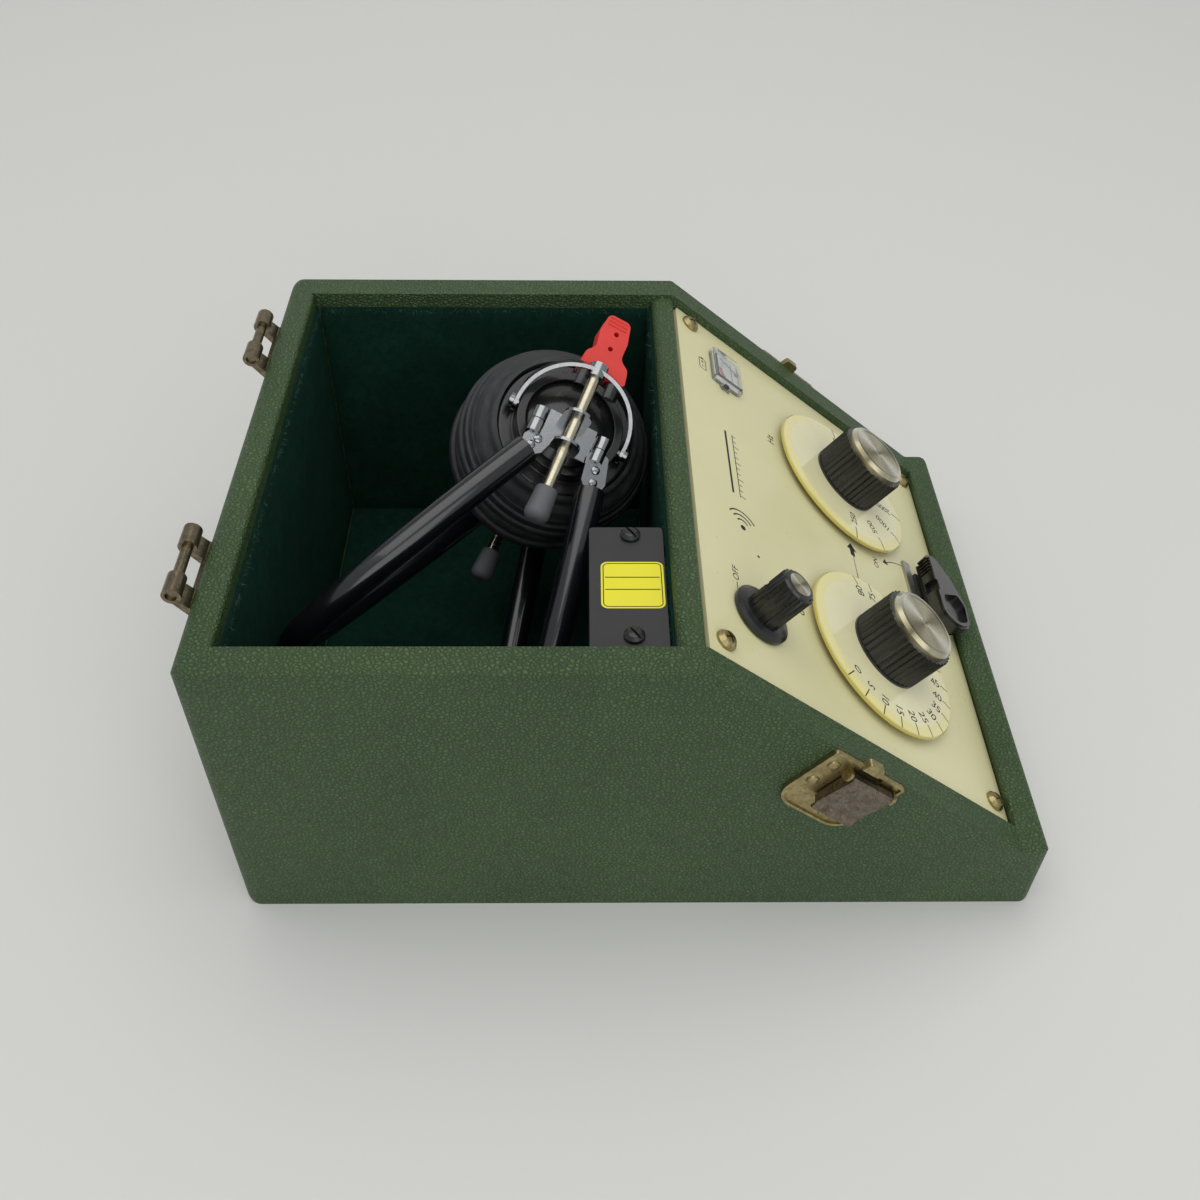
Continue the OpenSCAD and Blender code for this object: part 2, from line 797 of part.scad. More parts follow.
// cap with the control shaft in one piece
module cap_and_shaft() {
    z1 = dial_z + dial_t + knob_h;
    rotate_extrude($fn = 96)
        polygon([
            [0, z1], [12.5, z1], [12.5, z1 + 1.3], [11.7, z1 + 2.6], [10.6, z1 + 2.8],
            [9.9, z1 + 2.55], [1.6, z1 + 2.55], [1.1, z1 + 2.2], [0, z1 + 2.2]
        ]);
}
module shaft() {
    translate([0, 0, -panel_t - 13])
        cylinder(r = shaft_r, h = panel_t + 13 + dial_z + dial_t + knob_h - 3.2, $fn = 48);
}
module decibel_dial() {
    color([0.93, 0.9, 0.8])
        control_at(-dial_x, dial_v)
            dial();
}
module frequency_dial() {
    color([0.93, 0.9, 0.8])
        control_at(dial_x, dial_v)
            dial();
}
module decibel_knob() {
    color([0.08, 0.08, 0.08])
        control_at(-dial_x, dial_v)
            big_knob();
}
module frequency_knob() {
    color([0.08, 0.08, 0.08])
        control_at(dial_x, dial_v)
            big_knob();
}
module decibel_cap() {
    color([0.8, 0.8, 0.8])
        control_at(-dial_x, dial_v) {
            cap_and_shaft();
            shaft();
        }
}
module frequency_cap() {
    color([0.8, 0.8, 0.8])
        control_at(dial_x, dial_v) {
            cap_and_shaft();
            shaft();
        }
}
module output_knob() {
    rs = skirt_d / 2;
    color([0.08, 0.08, 0.08])
        control_at(out_x, out_v)
            difference() {
                union() {
                    rotate_extrude($fn = 72)
                        polygon([[0, 0.5], [rs, 0.5], [rs, 1.6], [rs - 1.2, 2.3], [7.4, 2.9], [0, 2.9]]);
                    translate([0, 0, 2.8])
                        linear_extrude(small_knob_h - 3.6)
                            polygon(flute_outline(6.3, 0.6, 20));
                    translate([0, 0, small_knob_h - 0.9])
                        rotate_extrude($fn = 48)
                            polygon([[0, 0], [5.7, 0], [5.2, 0.8], [4.2, 0.9], [0, 0.9]]);
                }
                // recess over the nut
                translate([0, 0, 0])
                    cylinder(r = 5.8, h = 1.7, $fn = 40);
                translate([0, 0, 0])
                    cylinder(r = out_shaft_r + press, h = small_knob_h - 3, $fn = 40);
                translate([0, 0, small_knob_h - 1.2])
                    cylinder(r = 4.05 + press, h = 3, $fn = 40);
                // index notch in the skirt
                translate([rs - 3.2, -0.5, 1.5])
                    cube([4, 1, 3]);
                // set screw hole
                translate([0, 0, 9])
                    rotate([90, 0, 150])
                        cylinder(r = 1, h = 12, $fn = 20);
            }
}
module output_insert() {
    color([0.75, 0.75, 0.76])
        control_at(out_x, out_v) {
            translate([0, 0, small_knob_h - 1.2])
                cylinder(r = 4.05, h = 1.35, $fn = 40);
            translate([0, 0, -panel_t - 8.5])
                cylinder(r = out_shaft_r, h = panel_t + 8.5 + small_knob_h - 3.3, $fn = 40);
        }
}
module tone_spindle() {
    color([0.6, 0.6, 0.6])
        control_at(0, tone_v) {
            translate([0, 0, -panel_t - 7.5])
                cylinder(r = 3, h = panel_t + 7.5 + 1, $fn = 40);
            translate([0, 0, 0.8])
                cylinder(r = hub_r - 0.8, h = 0.6, $fn = 40);
            translate([0, 0, 0.9])
                cylinder(r = stem_r, h = stem_top - 0.9, $fn = 40);
        }
}
// e pulls the outline in all round, f lifts the lower edge back from the nose
function paddle_outline(e, f) = rounded([
    [-9.5 + e, -tone_v + 3.8 - e, 3.5], [-12.2 + e, -tone_v - 4.5, 6], [-7.5 + e * 0.6, -tone_v - 12.2 + e + f, 4.5],
    [3, -tone_v - 13.4 + e + f, 7], [14.5 - e * 0.4, -tone_v - 7.8 + e + f * 0.6, 8],
    [21.8 - e, -tone_v - 0.6, 3.2], [21.4 - e, -tone_v + 4 - e, 2]
], 8);
paddle_dish = rounded([
    [-7.4, -tone_v + 1.6, 2], [-9.9, -tone_v - 4.4, 4.5], [-6.2, -tone_v - 10.4, 3.5],
    [2.6, -tone_v - 11.6, 4], [6.6, -tone_v - 8.6, 1.5], [1.6, -tone_v + 0.4, 2.5]
], 6);
module tone_paddle() {
    color([0.16, 0.16, 0.17])
        on_panel()
            difference() {
                union() {
                    // the foot stays clear of the nose when the paddle is turned and pressed
                    translate([0, 0, paddle_z])
                        linear_extrude(1.6)
                            polygon(paddle_outline(0.9, 0.8));
                    translate([0, 0, paddle_z + 1.5])
                        linear_extrude(paddle_t - 2.4)
                            polygon(paddle_outline(0, 0));
                    translate([0, 0, paddle_z + paddle_t - 1])
                        linear_extrude(1)
                            polygon(paddle_outline(0.7, 0));
                }
                // dished end behind a raised rim
                translate([0, 0, paddle_z + paddle_t - 2])
                    linear_extrude(3)
                        polygon(paddle_dish);
                // recess in the middle of the back wall
                translate([2.6, -tone_v + 2.2, paddle_z + 2])
                    cube([5.2, 4, paddle_t]);
                // grip ribs at the right end of the back wall
                for (k = [0:4])
                    translate([12.4 + k * 1.55, -tone_v + 3.1, paddle_z - 1])
                        cube([0.8, 2, paddle_t + 2]);
                translate([0, -tone_v, 0])
                    cylinder(r = stem_r + run, h = stem_top + paddle_travel + 0.2, $fn = 40);
            }
}

// ---- headset; local x to the rod tips, y to the right, z out through the upper receiver ----
head_at = [32.4, bay_front + 35.9, case_h - 28.6];
head_turn = [-28, 23, 157.4];
module on_head() {
    translate(head_at)
        rotate(head_turn)
            children();
}
module lower_half() {
    mirror([0, 0, 1])
        children();
}
rod_r = rod_d / 2;
face_z = 0.25;
cushion_top = face_z + cushion_t;
piv_x = 1;
piv_y = 18.5;
piv_z = 25;
bail_r = 19;
bail_t = 1.2;
bail_w = 6;
lean = 36.6;
bail_l = 2.2;
apex_s = bail_l + bail_r + bail_t / 2;
rod_z = 37.7;
rod_x0 = -15.2;
rod_x1 = 41.4;
tip_l = 11.7;
ear_x = [1.7, 12.7];
ear_r = 4.7;
sheet = 1;
plate_z = 32.2;
knuck_y = 11.2;
knuck_z = 34.7;
knuck_r = 2.5;
leaf_z = 34.6;
spring_t = 1.2;
band_half = 34;

module bracket() {
    difference() {
        union() {
            translate([ear_x[0], -8.5, plate_z])
                cube([ear_x[1] + sheet - ear_x[0], 17, sheet]);
            for (x = ear_x)
                translate([x, 0, 0])
                    rotate([90, 0, 90])
                        linear_extrude(sheet)
                            polygon(rounded([
                                [-ear_r, plate_z, 0], [ear_r, plate_z, 0],
                                [ear_r, rod_z + ear_r, ear_r - 0.05], [-ear_r, rod_z + ear_r, ear_r - 0.05]
                            ], 12));
            for (s = [-1, 1]) {
                translate([4, s > 0 ? 8.4 : -knuck_y, plate_z])
                    cube([4.3, knuck_y - 8.4, sheet]);
                translate([4, s * knuck_y, knuck_z])
                    rotate([0, 90, 0])
                        cylinder(r = knuck_r, h = 4.3, $fn = 40);
            }
        }
        translate([-2, 0, rod_z])
            rotate([0, 90, 0])
                cylinder(r = rod_r + run, h = 20, $fn = 40);
        for (s = [-1, 1])
            translate([0, s * knuck_y, knuck_z])
                rotate([0, 90, 0])
                    cylinder(r = 1 + press, h = 20, $fn = 24);
    }
}
module upper_bracket() {
    color([0.72, 0.72, 0.72])
        on_head()
            bracket();
}
module lower_bracket() {
    color([0.72, 0.72, 0.72])
        on_head()
            lower_half()
                bracket();
}
// bands: [start x, start y, direction, reach, leaf length, side]
bands = [[19, -11, -26, band_reach_b, 8.2, -1], [22, 13.5, 10, band_reach_a, 12.4, 1]];
function leaf_rivet_s(b) = [b[4] > 10 ? -2.2 : -1.7, b[4] > 10 ? -6.6 : -4.9];
module on_band(b) {
    translate([b[0], b[1], 0])
        rotate([0, 0, b[2]])
            children();
}
module leaf(b) {
    difference() {
        union() {
            on_band(b)
                translate([0, 0, leaf_z])
                    linear_extrude(sheet)
                        polygon(rounded([
                            [-b[4], -3.5, 1.2], [-2.5, -4.1, 0.5], [-0.3, -3, 0.3],
                            [-0.3, 3, 0.3], [-2.5, 4.1, 0.5], [-b[4], 3.5, 1.2]
                        ]));
            translate([8.6, b[5] * knuck_y, knuck_z])
                rotate([0, 90, 0])
                    cylinder(r = knuck_r, h = 4.4, $fn = 40);
            // web from the barrel to the leaf
            translate([8.6, min(b[5] * knuck_y, b[5] * 9), leaf_z])
                cube([6.5, knuck_y - 9, sheet]);
        }
        translate([6, b[5] * knuck_y, knuck_z])
            rotate([0, 90, 0])
                cylinder(r = 1 + press, h = 7.2, $fn = 24);
        // room for the ears of the bracket
        translate([0, -ear_r - 0.4, 30])
            cube([14.2, 2 * ear_r + 0.8, 12]);
        on_band(b)
            for (s = leaf_rivet_s(b))
                translate([s, 0, 30])
                    cylinder(r = 0.9 + press, h = 10, $fn = 20);
    }
}
module band_leaves() {
    color([0.8, 0.8, 0.8])
        on_head() {
            for (b = bands) {
                leaf(b);
                lower_half()
                    leaf(b);
            }
        }
}
module pins_half() {
    for (b = bands) {
        translate([4.3, b[5] * knuck_y, knuck_z])
            rotate([0, 90, 0])
                cylinder(r = 1, h = 8.4, $fn = 24);
        on_band(b)
            for (s = leaf_rivet_s(b))
                translate([s, 0, 0]) {
                    translate([0, 0, leaf_z - spring_t - 0.3])
                        cylinder(r = 0.9, h = spring_t + sheet + 0.5, $fn = 20);
                    translate([0, 0, leaf_z + sheet])
                        rotate_extrude($fn = 32)
                            polygon([[0, 0], [1.52, 0], [1.35, 0.45], [0.8, 0.75], [0, 0.8]]);
                }
    }
}
module leaf_pins() {
    color([0.78, 0.76, 0.7])
        on_head() {
            pins_half();
            lower_half()
                pins_half();
        }
}

// a band is half an ellipse; t runs 0..180 from the upper to the lower bracket
band_n = 30;
function band_dir(b) = [cos(b[2]), sin(b[2]), 0];
function band_pt(b, t) = [b[0], b[1], 0] + band_dir(b) * b[3] * sin(t) + [0, 0, band_half * cos(t)];
function band_tan(b, t) = unit(band_dir(b) * b[3] * cos(t) - [0, 0, band_half * sin(t)]);
function band_side(b) = [-sin(b[2]), cos(b[2]), 0];
// even steps are crowded towards the tight bend
function band_t(k) = 180 * k / band_n + 9 * sin(720 * k / band_n / 2);
function section_at(b, t, sec) =
    let(p = band_pt(b, t), w = band_side(b), m = cross(band_tan(b, t), w))
    [for (q = sec) p + w * q[0] + m * q[1]];
function ring_sec(r, n) = [for (i = [0:n - 1]) r * [cos(360 * i / n), sin(360 * i / n)]];
module loft_closed(rings) {
    n = len(rings[0]);
    m = len(rings);
    polyhedron(
        points = [for (r = rings) each r],
        faces = [for (i = [0:m - 1]) for (j = [0:n - 1])
            let(a = i * n + j, b = i * n + (j + 1) % n, c = ((i + 1) % m) * n + (j + 1) % n, d = ((i + 1) % m) * n + j)
            each [[a, b, c], [a, c, d]]],
        convexity = 6
    );
}
module loft_open(rings) {
    n = len(rings[0]);
    m = len(rings);
    polyhedron(
        points = [for (r = rings) each r],
        faces = concat(
            [for (i = [0:m - 2]) for (j = [0:n - 1])
                let(a = i * n + j, b = i * n + (j + 1) % n, c = (i + 1) * n + (j + 1) % n, d = (i + 1) * n + j)
                each [[a, b, c], [a, c, d]]],
            [[for (j = [n - 1:-1:0]) j]],
            [[for (j = [0:n - 1]) (m - 1) * n + j]]
        ),
        convexity = 6
    );
}
module tube(b) {
    ro = tube_d / 2;
    ri = ro - 1.1;
    outer = [for (k = [0:band_n]) section_at(b, band_t(k), ring_sec(ro, 14))];
    inner = [for (k = [band_n:-1:0]) section_at(b, band_t(k), ring_sec(ri, 14))];
    loft_closed(concat(outer, inner));
}
module band_tubes() {
    color([0.07, 0.07, 0.08])
        on_head()
            for (b = bands)
                tube(b);
}
// spring strip: straight tangs under the leaves, then the band's curve
strip = [[3, 0.6], [-3, 0.6], [-3, -0.6], [3, -0.6]];
module spring_strip(b) {
    lead = [for (s = [-b[4] + 1.2, -2]) [for (q = strip)
        [b[0], b[1], band_half] + band_dir(b) * s + band_side(b) * q[0] - [0, 0, 1] * q[1]]];
    mid = [for (k = [0:band_n]) section_at(b, band_t(k), [for (q = strip) [q[0], -q[1]]])];
    tail = [for (s = [-2, -b[4] + 1.2]) [for (q = strip)
        [b[0], b[1], -band_half] + band_dir(b) * s + band_side(b) * q[0] + [0, 0, 1] * q[1]]];
    difference() {
        loft_open(concat(lead, mid, tail));
        on_band(b)
            for (s = leaf_rivet_s(b))
                translate([s, 0, -40])
                    cylinder(r = 0.9 + 2 * press, h = 80, $fn = 36);
        // room for the hinge barrels of the leaves
        for (z = [-knuck_z, knuck_z])
            translate([3.5, b[5] * knuck_y, z])
                rotate([0, 90, 0])
                    cylinder(r = knuck_r + 0.2, h = 9.8, $fn = 40);
    }
}
module band_springs() {
    color([0.55, 0.56, 0.58])
        on_head()
            for (b = bands)
                spring_strip(b);
}

module yoke() {
    difference() {
        union() {
            translate([piv_x, 0, piv_z])
                rotate([0, 180 + lean, 0]) {
                    translate([bail_l, 0, -bail_w / 2])
                        difference() {
                            cylinder(r = bail_r + bail_t, h = bail_w, $fn = 96);
                            translate([0, 0, -1])
                                cylinder(r = bail_r, h = bail_w + 2, $fn = 96);
                            translate([-40, -40, -1])
                                cube([40, 80, bail_w + 2]);
                        }
                    for (y = [-bail_r - bail_t, bail_r])
                        translate([0, y, -bail_w / 2])
                            cube([bail_l, bail_t, bail_w]);
                }
            // rounded ends about the pivots
            for (s = [-1, 1])
                translate([piv_x, s > 0 ? bail_r + run : -bail_r - bail_t + run, piv_z])
                    rotate([-90, 0, 0])
                        cylinder(r = bail_w / 2 + 0.3, h = bail_t - 2 * run, $fn = 40);
            // collar that holds the rod
            translate([rod_x0 - 2.6, 0, rod_z])
                rotate([0, 90, 0])
                    cylinder(r = 3.1, h = 5, $fn = 40);
        }
        translate([rod_x0, 0, rod_z])
            rotate([0, 90, 0])
                cylinder(r = rod_r + press, h = 30, $fn = 40);
        translate([piv_x, -30, piv_z])
            rotate([-90, 0, 0])
                cylinder(r = 1.2 + run, h = 60, $fn = 24);
    }
}
module upper_yoke() {
    color([0.82, 0.82, 0.82])
        on_head()
            yoke();
}
module lower_yoke() {
    color([0.82, 0.82, 0.82])
        on_head()
            lower_half()
                yoke();
}
module rod() {
    translate([rod_x0 + 0.1, 0, rod_z])
        rotate([0, 90, 0]) {
            cylinder(r = rod_r, h = rod_x1 - rod_x0 - 3, $fn = 40);
            translate([0, 0, rod_x1 - rod_x0 - tip_l])
                rotate_extrude($fn = 48)
                    polygon(rounded([[0, 0, 0], [3.6, 0, 0.4], [4.35, tip_l, 2.8], [0, tip_l, 0]]));
        }
}
module upper_rod() {
    color([0.85, 0.83, 0.74])
        on_head()
            rod();
}
module lower_rod() {
    color([0.85, 0.83, 0.74])
        on_head()
            lower_half()
                rod();
}
ring_top = 26.8;
ring_in = 15.4;
plug_y = [-2.3, 8.4];
plug_x = -20.2;
module receiver() {
    difference() {
        union() {
            rotate_extrude($fn = 96)
                polygon(rounded([
                    [0, 10, 0], [receiver_r, 10, 0.4], [receiver_r, 21, 1.2], [piv_y + 0.3, 21.1, 0.3],
                    [piv_y, 21.3, 0], [piv_y, ring_top, 0.5], [ring_in, ring_top, 0.3], [ring_in, 25.2, 0],
                    [9, 29.2, 14], [0, 31, 0]
                ]));
            for (y = plug_y)
                translate([plug_x, y, 25])
                    rotate([0, 90, 0])
                        cylinder(r = 3, h = 6, $fn = 32);
            for (s = [-1, 1])
                translate([piv_x, s > 0 ? piv_y - 2 : -piv_y - bail_t - 2.1, piv_z])
                    rotate([-90, 0, 0])
                        cylinder(r = 1.2, h = bail_t + 4.1, $fn = 24);
            for (s = [-1, 1])
                translate([piv_x, s * (bail_r + bail_t + 0.15), piv_z])
                    rotate([s * -90, 0, 0])
                        cylinder(r = 2.4, h = 1.3, $fn = 32);
        }
        for (y = plug_y)
            translate([plug_x - 1, y, 25])
                rotate([0, 90, 0])
                    cylinder(r = 1 + press, h = 5, $fn = 20);
    }
}
module upper_receiver() {
    color([0.1, 0.1, 0.11])
        on_head()
            receiver();
}
module lower_receiver() {
    color([0.1, 0.1, 0.11])
        on_head()
            lower_half()
                receiver();
}
module cushion() {
    r = cushion_r;
    t = cushion_top;
    rotate_extrude($fn = 96)
        polygon(rounded([
            [9, face_z + 1.2, 0.8], [20, face_z, 4], [r - 4.5, face_z, 2.5], [r - 1.4, face_z + 2.6, 1],
            [r - 1.7, face_z + 3.6, 0.4], [r - 0.2, face_z + 4.6, 1], [r, face_z + 7.6, 1],
            [r - 1.0, face_z + 8.5, 0.4], [r - 1.3, face_z + 11.2, 1], [r - 2.6, face_z + 12.2, 0.4],
            [r - 3.4, face_z + 15, 1], [r - 6.6, t - 1.2, 1.5], [receiver_r + 1.2, t, 0.6],
            [receiver_r + press, t, 0], [receiver_r + press, 10 - press, 0], [9, 10 - press, 1]
        ], 4));
}
module upper_cushion() {
    color([0.3, 0.3, 0.32])
        on_head()
            cushion();
}
module lower_cushion() {
    color([0.3, 0.3, 0.32])
        on_head()
            lower_half()
                cushion();
}
module connector() {
    z0 = 22.3;
    z1 = 28.3;
    difference() {
        translate([0, 0, z0])
            linear_extrude(z1 - z0)
                polygon(rounded([
                    [plug_x - 0.1, -5.6, 1], [plug_x - 0.1, 1, 1], [-23.4, 2.2, 1], [-23.4, 4, 1],
                    [plug_x - 0.1, 5.1, 1], [plug_x - 0.1, 11.7, 1], [-26.5, 10.6, 3], [-29, 7, 3],
                    [-35.5, 7.1, 3], [-43.2, 5.5, 2], [-43.2, -2.5, 2], [-36, -3.6, 3],
                    [-29.5, -2.6, 3], [-26.5, -5.2, 3]
                ], 5));
        for (x = [-31, -37])
            translate([x, 2.2, z0 - 1])
                cylinder(r = 0.9, h = 10, $fn = 20);
    }
    for (y = plug_y)
        translate([plug_x - 0.6, y, 25])
            rotate([0, 90, 0])
                cylinder(r = 1, h = 4, $fn = 20);
}
module upper_connector() {
    color([0.88, 0.33, 0.3])
        on_head()
            connector();
}
module lower_connector() {
    color([0.2, 0.3, 0.6])
        on_head()
            lower_half()
                connector();
}

side_wall_left();
side_wall_right();
back_wall();
front_wall();
base_board();
divider();
felt_floor();
felt_back();
felt_front();
felt_left();
felt_right();
panel_cleats();
panel();
panel_screws();
hinge_left();
hinge_right();
hinge_pins();
hinge_screws();
catch_plate_left();
catch_plate_right();
catch_pins();
catch_lever_left();
catch_lever_right();
battery_case();
battery_cover();
cover_screws();
batteries();
decibel_attenuator();
frequency_switch();
output_switch();
tone_switch();
circuit_board();
meter_body();
meter_lens();
decibel_dial();
decibel_knob();
decibel_cap();
frequency_dial();
frequency_knob();
frequency_cap();
output_knob();
output_insert();
tone_spindle();
tone_paddle();
upper_bracket();
lower_bracket();
band_leaves();
leaf_pins();
band_tubes();
band_springs();
upper_yoke();
upper_rod();
upper_receiver();
upper_cushion();
upper_connector();
lower_yoke();
lower_rod();
lower_receiver();
lower_cushion();
lower_connector();
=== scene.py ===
import math
import random
import bpy
import bmesh
from mathutils import Matrix, Vector, Euler, noise


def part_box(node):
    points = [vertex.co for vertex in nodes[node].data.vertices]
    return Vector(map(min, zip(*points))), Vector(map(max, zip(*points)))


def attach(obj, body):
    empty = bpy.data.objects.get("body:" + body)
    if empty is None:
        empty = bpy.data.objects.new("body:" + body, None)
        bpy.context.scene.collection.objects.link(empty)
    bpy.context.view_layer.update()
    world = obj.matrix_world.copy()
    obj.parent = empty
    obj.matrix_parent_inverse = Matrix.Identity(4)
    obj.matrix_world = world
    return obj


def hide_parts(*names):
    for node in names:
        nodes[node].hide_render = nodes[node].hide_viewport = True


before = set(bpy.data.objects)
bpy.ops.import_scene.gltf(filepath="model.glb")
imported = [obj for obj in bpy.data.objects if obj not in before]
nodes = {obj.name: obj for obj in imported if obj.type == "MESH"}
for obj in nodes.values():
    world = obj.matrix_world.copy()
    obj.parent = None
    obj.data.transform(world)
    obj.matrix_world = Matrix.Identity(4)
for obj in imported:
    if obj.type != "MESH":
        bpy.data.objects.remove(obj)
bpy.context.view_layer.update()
MM = 0.001
random.seed(7)

# ---- sizes shared with the CAD, mm ----
HALF_L = 127
CASE_H = 111
NOSE_H = 28
FOOT_Y = 117.8
SLOPE_Y = HALF_L - 141.8
THETA = math.atan((CASE_H - NOSE_H) / (SLOPE_Y + FOOT_Y))
RECESS = 3.0
DIAL_X = 43.2
DIAL_V = 82
DIAL_TOP = 3.8
TUBE_D = 9.5
PANEL = Matrix.Translation(Vector((0, SLOPE_Y, CASE_H)) * MM) @ Euler((THETA, 0, 0)).to_matrix().to_4x4() \
    @ Matrix.Translation(Vector((0, 0, -RECESS)) * MM)
HEAD = Matrix.Translation(Vector((32.4, 30.5, 82.4)) * MM) \
    @ Euler((math.radians(-28), math.radians(23), math.radians(157.4)), "XYZ").to_matrix().to_4x4()
LOWER = HEAD @ Matrix.Diagonal((1, 1, -1, 1))


# ---- camera ----
cam_data = bpy.data.cameras.new("camera")
cam = bpy.data.objects.new("camera", cam_data)
bpy.context.scene.collection.objects.link(cam)
cam_data.sensor_width = 36
cam_data.lens = 36.743
cam_data.clip_start = 0.01
cam_data.clip_end = 20
fwd = Vector((0.70896818, -0.01494541, -0.70508209)).normalized()
right = Vector((-0.01038355, -0.99988827, 0.01075356)).normalized()
up = right.cross(fwd).normalized()
cam.matrix_world = Matrix((
    (right.x, up.x, -fwd.x, -0.3106),
    (right.y, up.y, -fwd.y, 0.0188),
    (right.z, up.z, -fwd.z, 0.3493),
    (0, 0, 0, 1)))
bpy.context.scene.camera = cam
scene = bpy.context.scene
scene.view_settings.view_transform = "Standard"
scene.view_settings.look = "None"


# ---- material helpers ----
def lin(r, g, b):
    """8-bit sRGB to linear, with alpha."""
    f = lambda c: (c / 255 / 12.92) if c <= 10 else (((c / 255) + 0.055) / 1.055) ** 2.4
    return (f(r), f(g), f(b), 1.0)


class Mat:
    """A small wrapper that builds a node material over object coordinates in millimetres."""

    def __init__(self, name, color, rough=0.5, metal=0.0, **sockets):
        self.m = bpy.data.materials.new(name)
        self.m.use_nodes = True
        self.t = self.m.node_tree
        self.n = self.t.nodes
        self.l = self.t.links
        self.b = self.n["Principled BSDF"]
        self.b.inputs["Base Color"].default_value = color
        self.b.inputs["Roughness"].default_value = rough
        self.b.inputs["Metallic"].default_value = metal
        for k, v in sockets.items():
            self.b.inputs[k.replace("_", " ")].default_value = v
        self.m.diffuse_color = color
        tc = self.n.new("ShaderNodeTexCoord")
        mp = self.n.new("ShaderNodeVectorMath")
        mp.operation = "SCALE"
        mp.inputs["Scale"].default_value = 1000.0
        self.l.new(tc.outputs["Object"], mp.inputs[0])
        self.co = mp.outputs[0]
        self.height = None

    def noise(self, size, detail=4.0, rough=0.6, co=None, distort=0.0):
        n = self.n.new("ShaderNodeTexNoise")
        n.inputs["Scale"].default_value = 1.0 / size
        n.inputs["Detail"].default_value = detail
        n.inputs["Roughness"].default_value = rough
        n.inputs["Distortion"].default_value = distort
        self.l.new(co or self.co, n.inputs["Vector"])
        return n.outputs["Fac"]

    def voronoi(self, size, feature="SMOOTH_F1", co=None, out="Distance", smooth=0.4):
        n = self.n.new("ShaderNodeTexVoronoi")
        n.feature = feature
        n.inputs["Scale"].default_value = 1.0 / size
        if feature == "SMOOTH_F1":
            n.inputs["Smoothness"].default_value = smooth
        self.l.new(co or self.co, n.inputs["Vector"])
        return n.outputs[out]

    def math(self, op, a, b=None, clamp=False):
        n = self.n.new("ShaderNodeMath")
        n.operation = op
        n.use_clamp = clamp
        for i, v in enumerate((a, b)):
            if v is None:
                continue
            if isinstance(v, (int, float)):
                n.inputs[i].default_value = v
            else:
                self.l.new(v, n.inputs[i])
        return n.outputs[0]

    def mapr(self, v, a, b, c=0.0, d=1.0):
        n = self.n.new("ShaderNodeMapRange")
        self.l.new(v, n.inputs["Value"])
        for k, x in zip(("From Min", "From Max", "To Min", "To Max"), (a, b, c, d)):
            n.inputs[k].default_value = x
        return n.outputs["Result"]

    def mix(self, fac, a, b, mode="MIX"):
        n = self.n.new("ShaderNodeMix")
        n.data_type = "RGBA"
        n.blend_type = mode
        if isinstance(fac, (int, float)):
            n.inputs["Factor"].default_value = fac
        else:
            self.l.new(fac, n.inputs["Factor"])
        for key, v in (("A", a), ("B", b)):
            s = [i for i in n.inputs if i.name == key and i.type == "RGBA"][0]
            if isinstance(v, tuple):
                s.default_value = v
            else:
                self.l.new(v, s)
        return [o for o in n.outputs if o.type == "RGBA"][0]

    def xyz(self, co=None):
        n = self.n.new("ShaderNodeSeparateXYZ")
        self.l.new(co or self.co, n.inputs[0])
        return n.outputs

    def local(self, matrix):
        """Object coordinates in the local frame of a matrix, in millimetres."""
        n = self.n.new("ShaderNodeMapping")
        n.vector_type = "TEXTURE"
        loc, rot, _ = matrix.decompose()
        n.inputs["Location"].default_value = loc * 1000
        n.inputs["Rotation"].default_value = rot.to_euler("XYZ")
        self.l.new(self.co, n.inputs["Vector"])
        return n.outputs["Vector"]

    def stretch(self, co, s):
        n = self.n.new("ShaderNodeVectorMath")
        n.operation = "MULTIPLY"
        n.inputs[1].default_value = s
        self.l.new(co, n.inputs[0])
        return n.outputs[0]

    def color(self, c):
        self.l.new(c, self.b.inputs["Base Color"])

    def rough(self, v, lo=None, hi=None):
        self.l.new(self.mapr(v, 0.25, 0.75, lo, hi) if lo is not None else v, self.b.inputs["Roughness"])

    def bump(self, h, dist_mm, strength=1.0):
        n = self.n.new("ShaderNodeBump")
        n.inputs["Strength"].default_value = strength
        n.inputs["Distance"].default_value = dist_mm * MM
        self.l.new(h, n.inputs["Height"])
        if self.height is not None:
            self.l.new(self.height, n.inputs["Normal"])
        self.height = n.outputs["Normal"]
        self.l.new(self.height, self.b.inputs["Normal"])


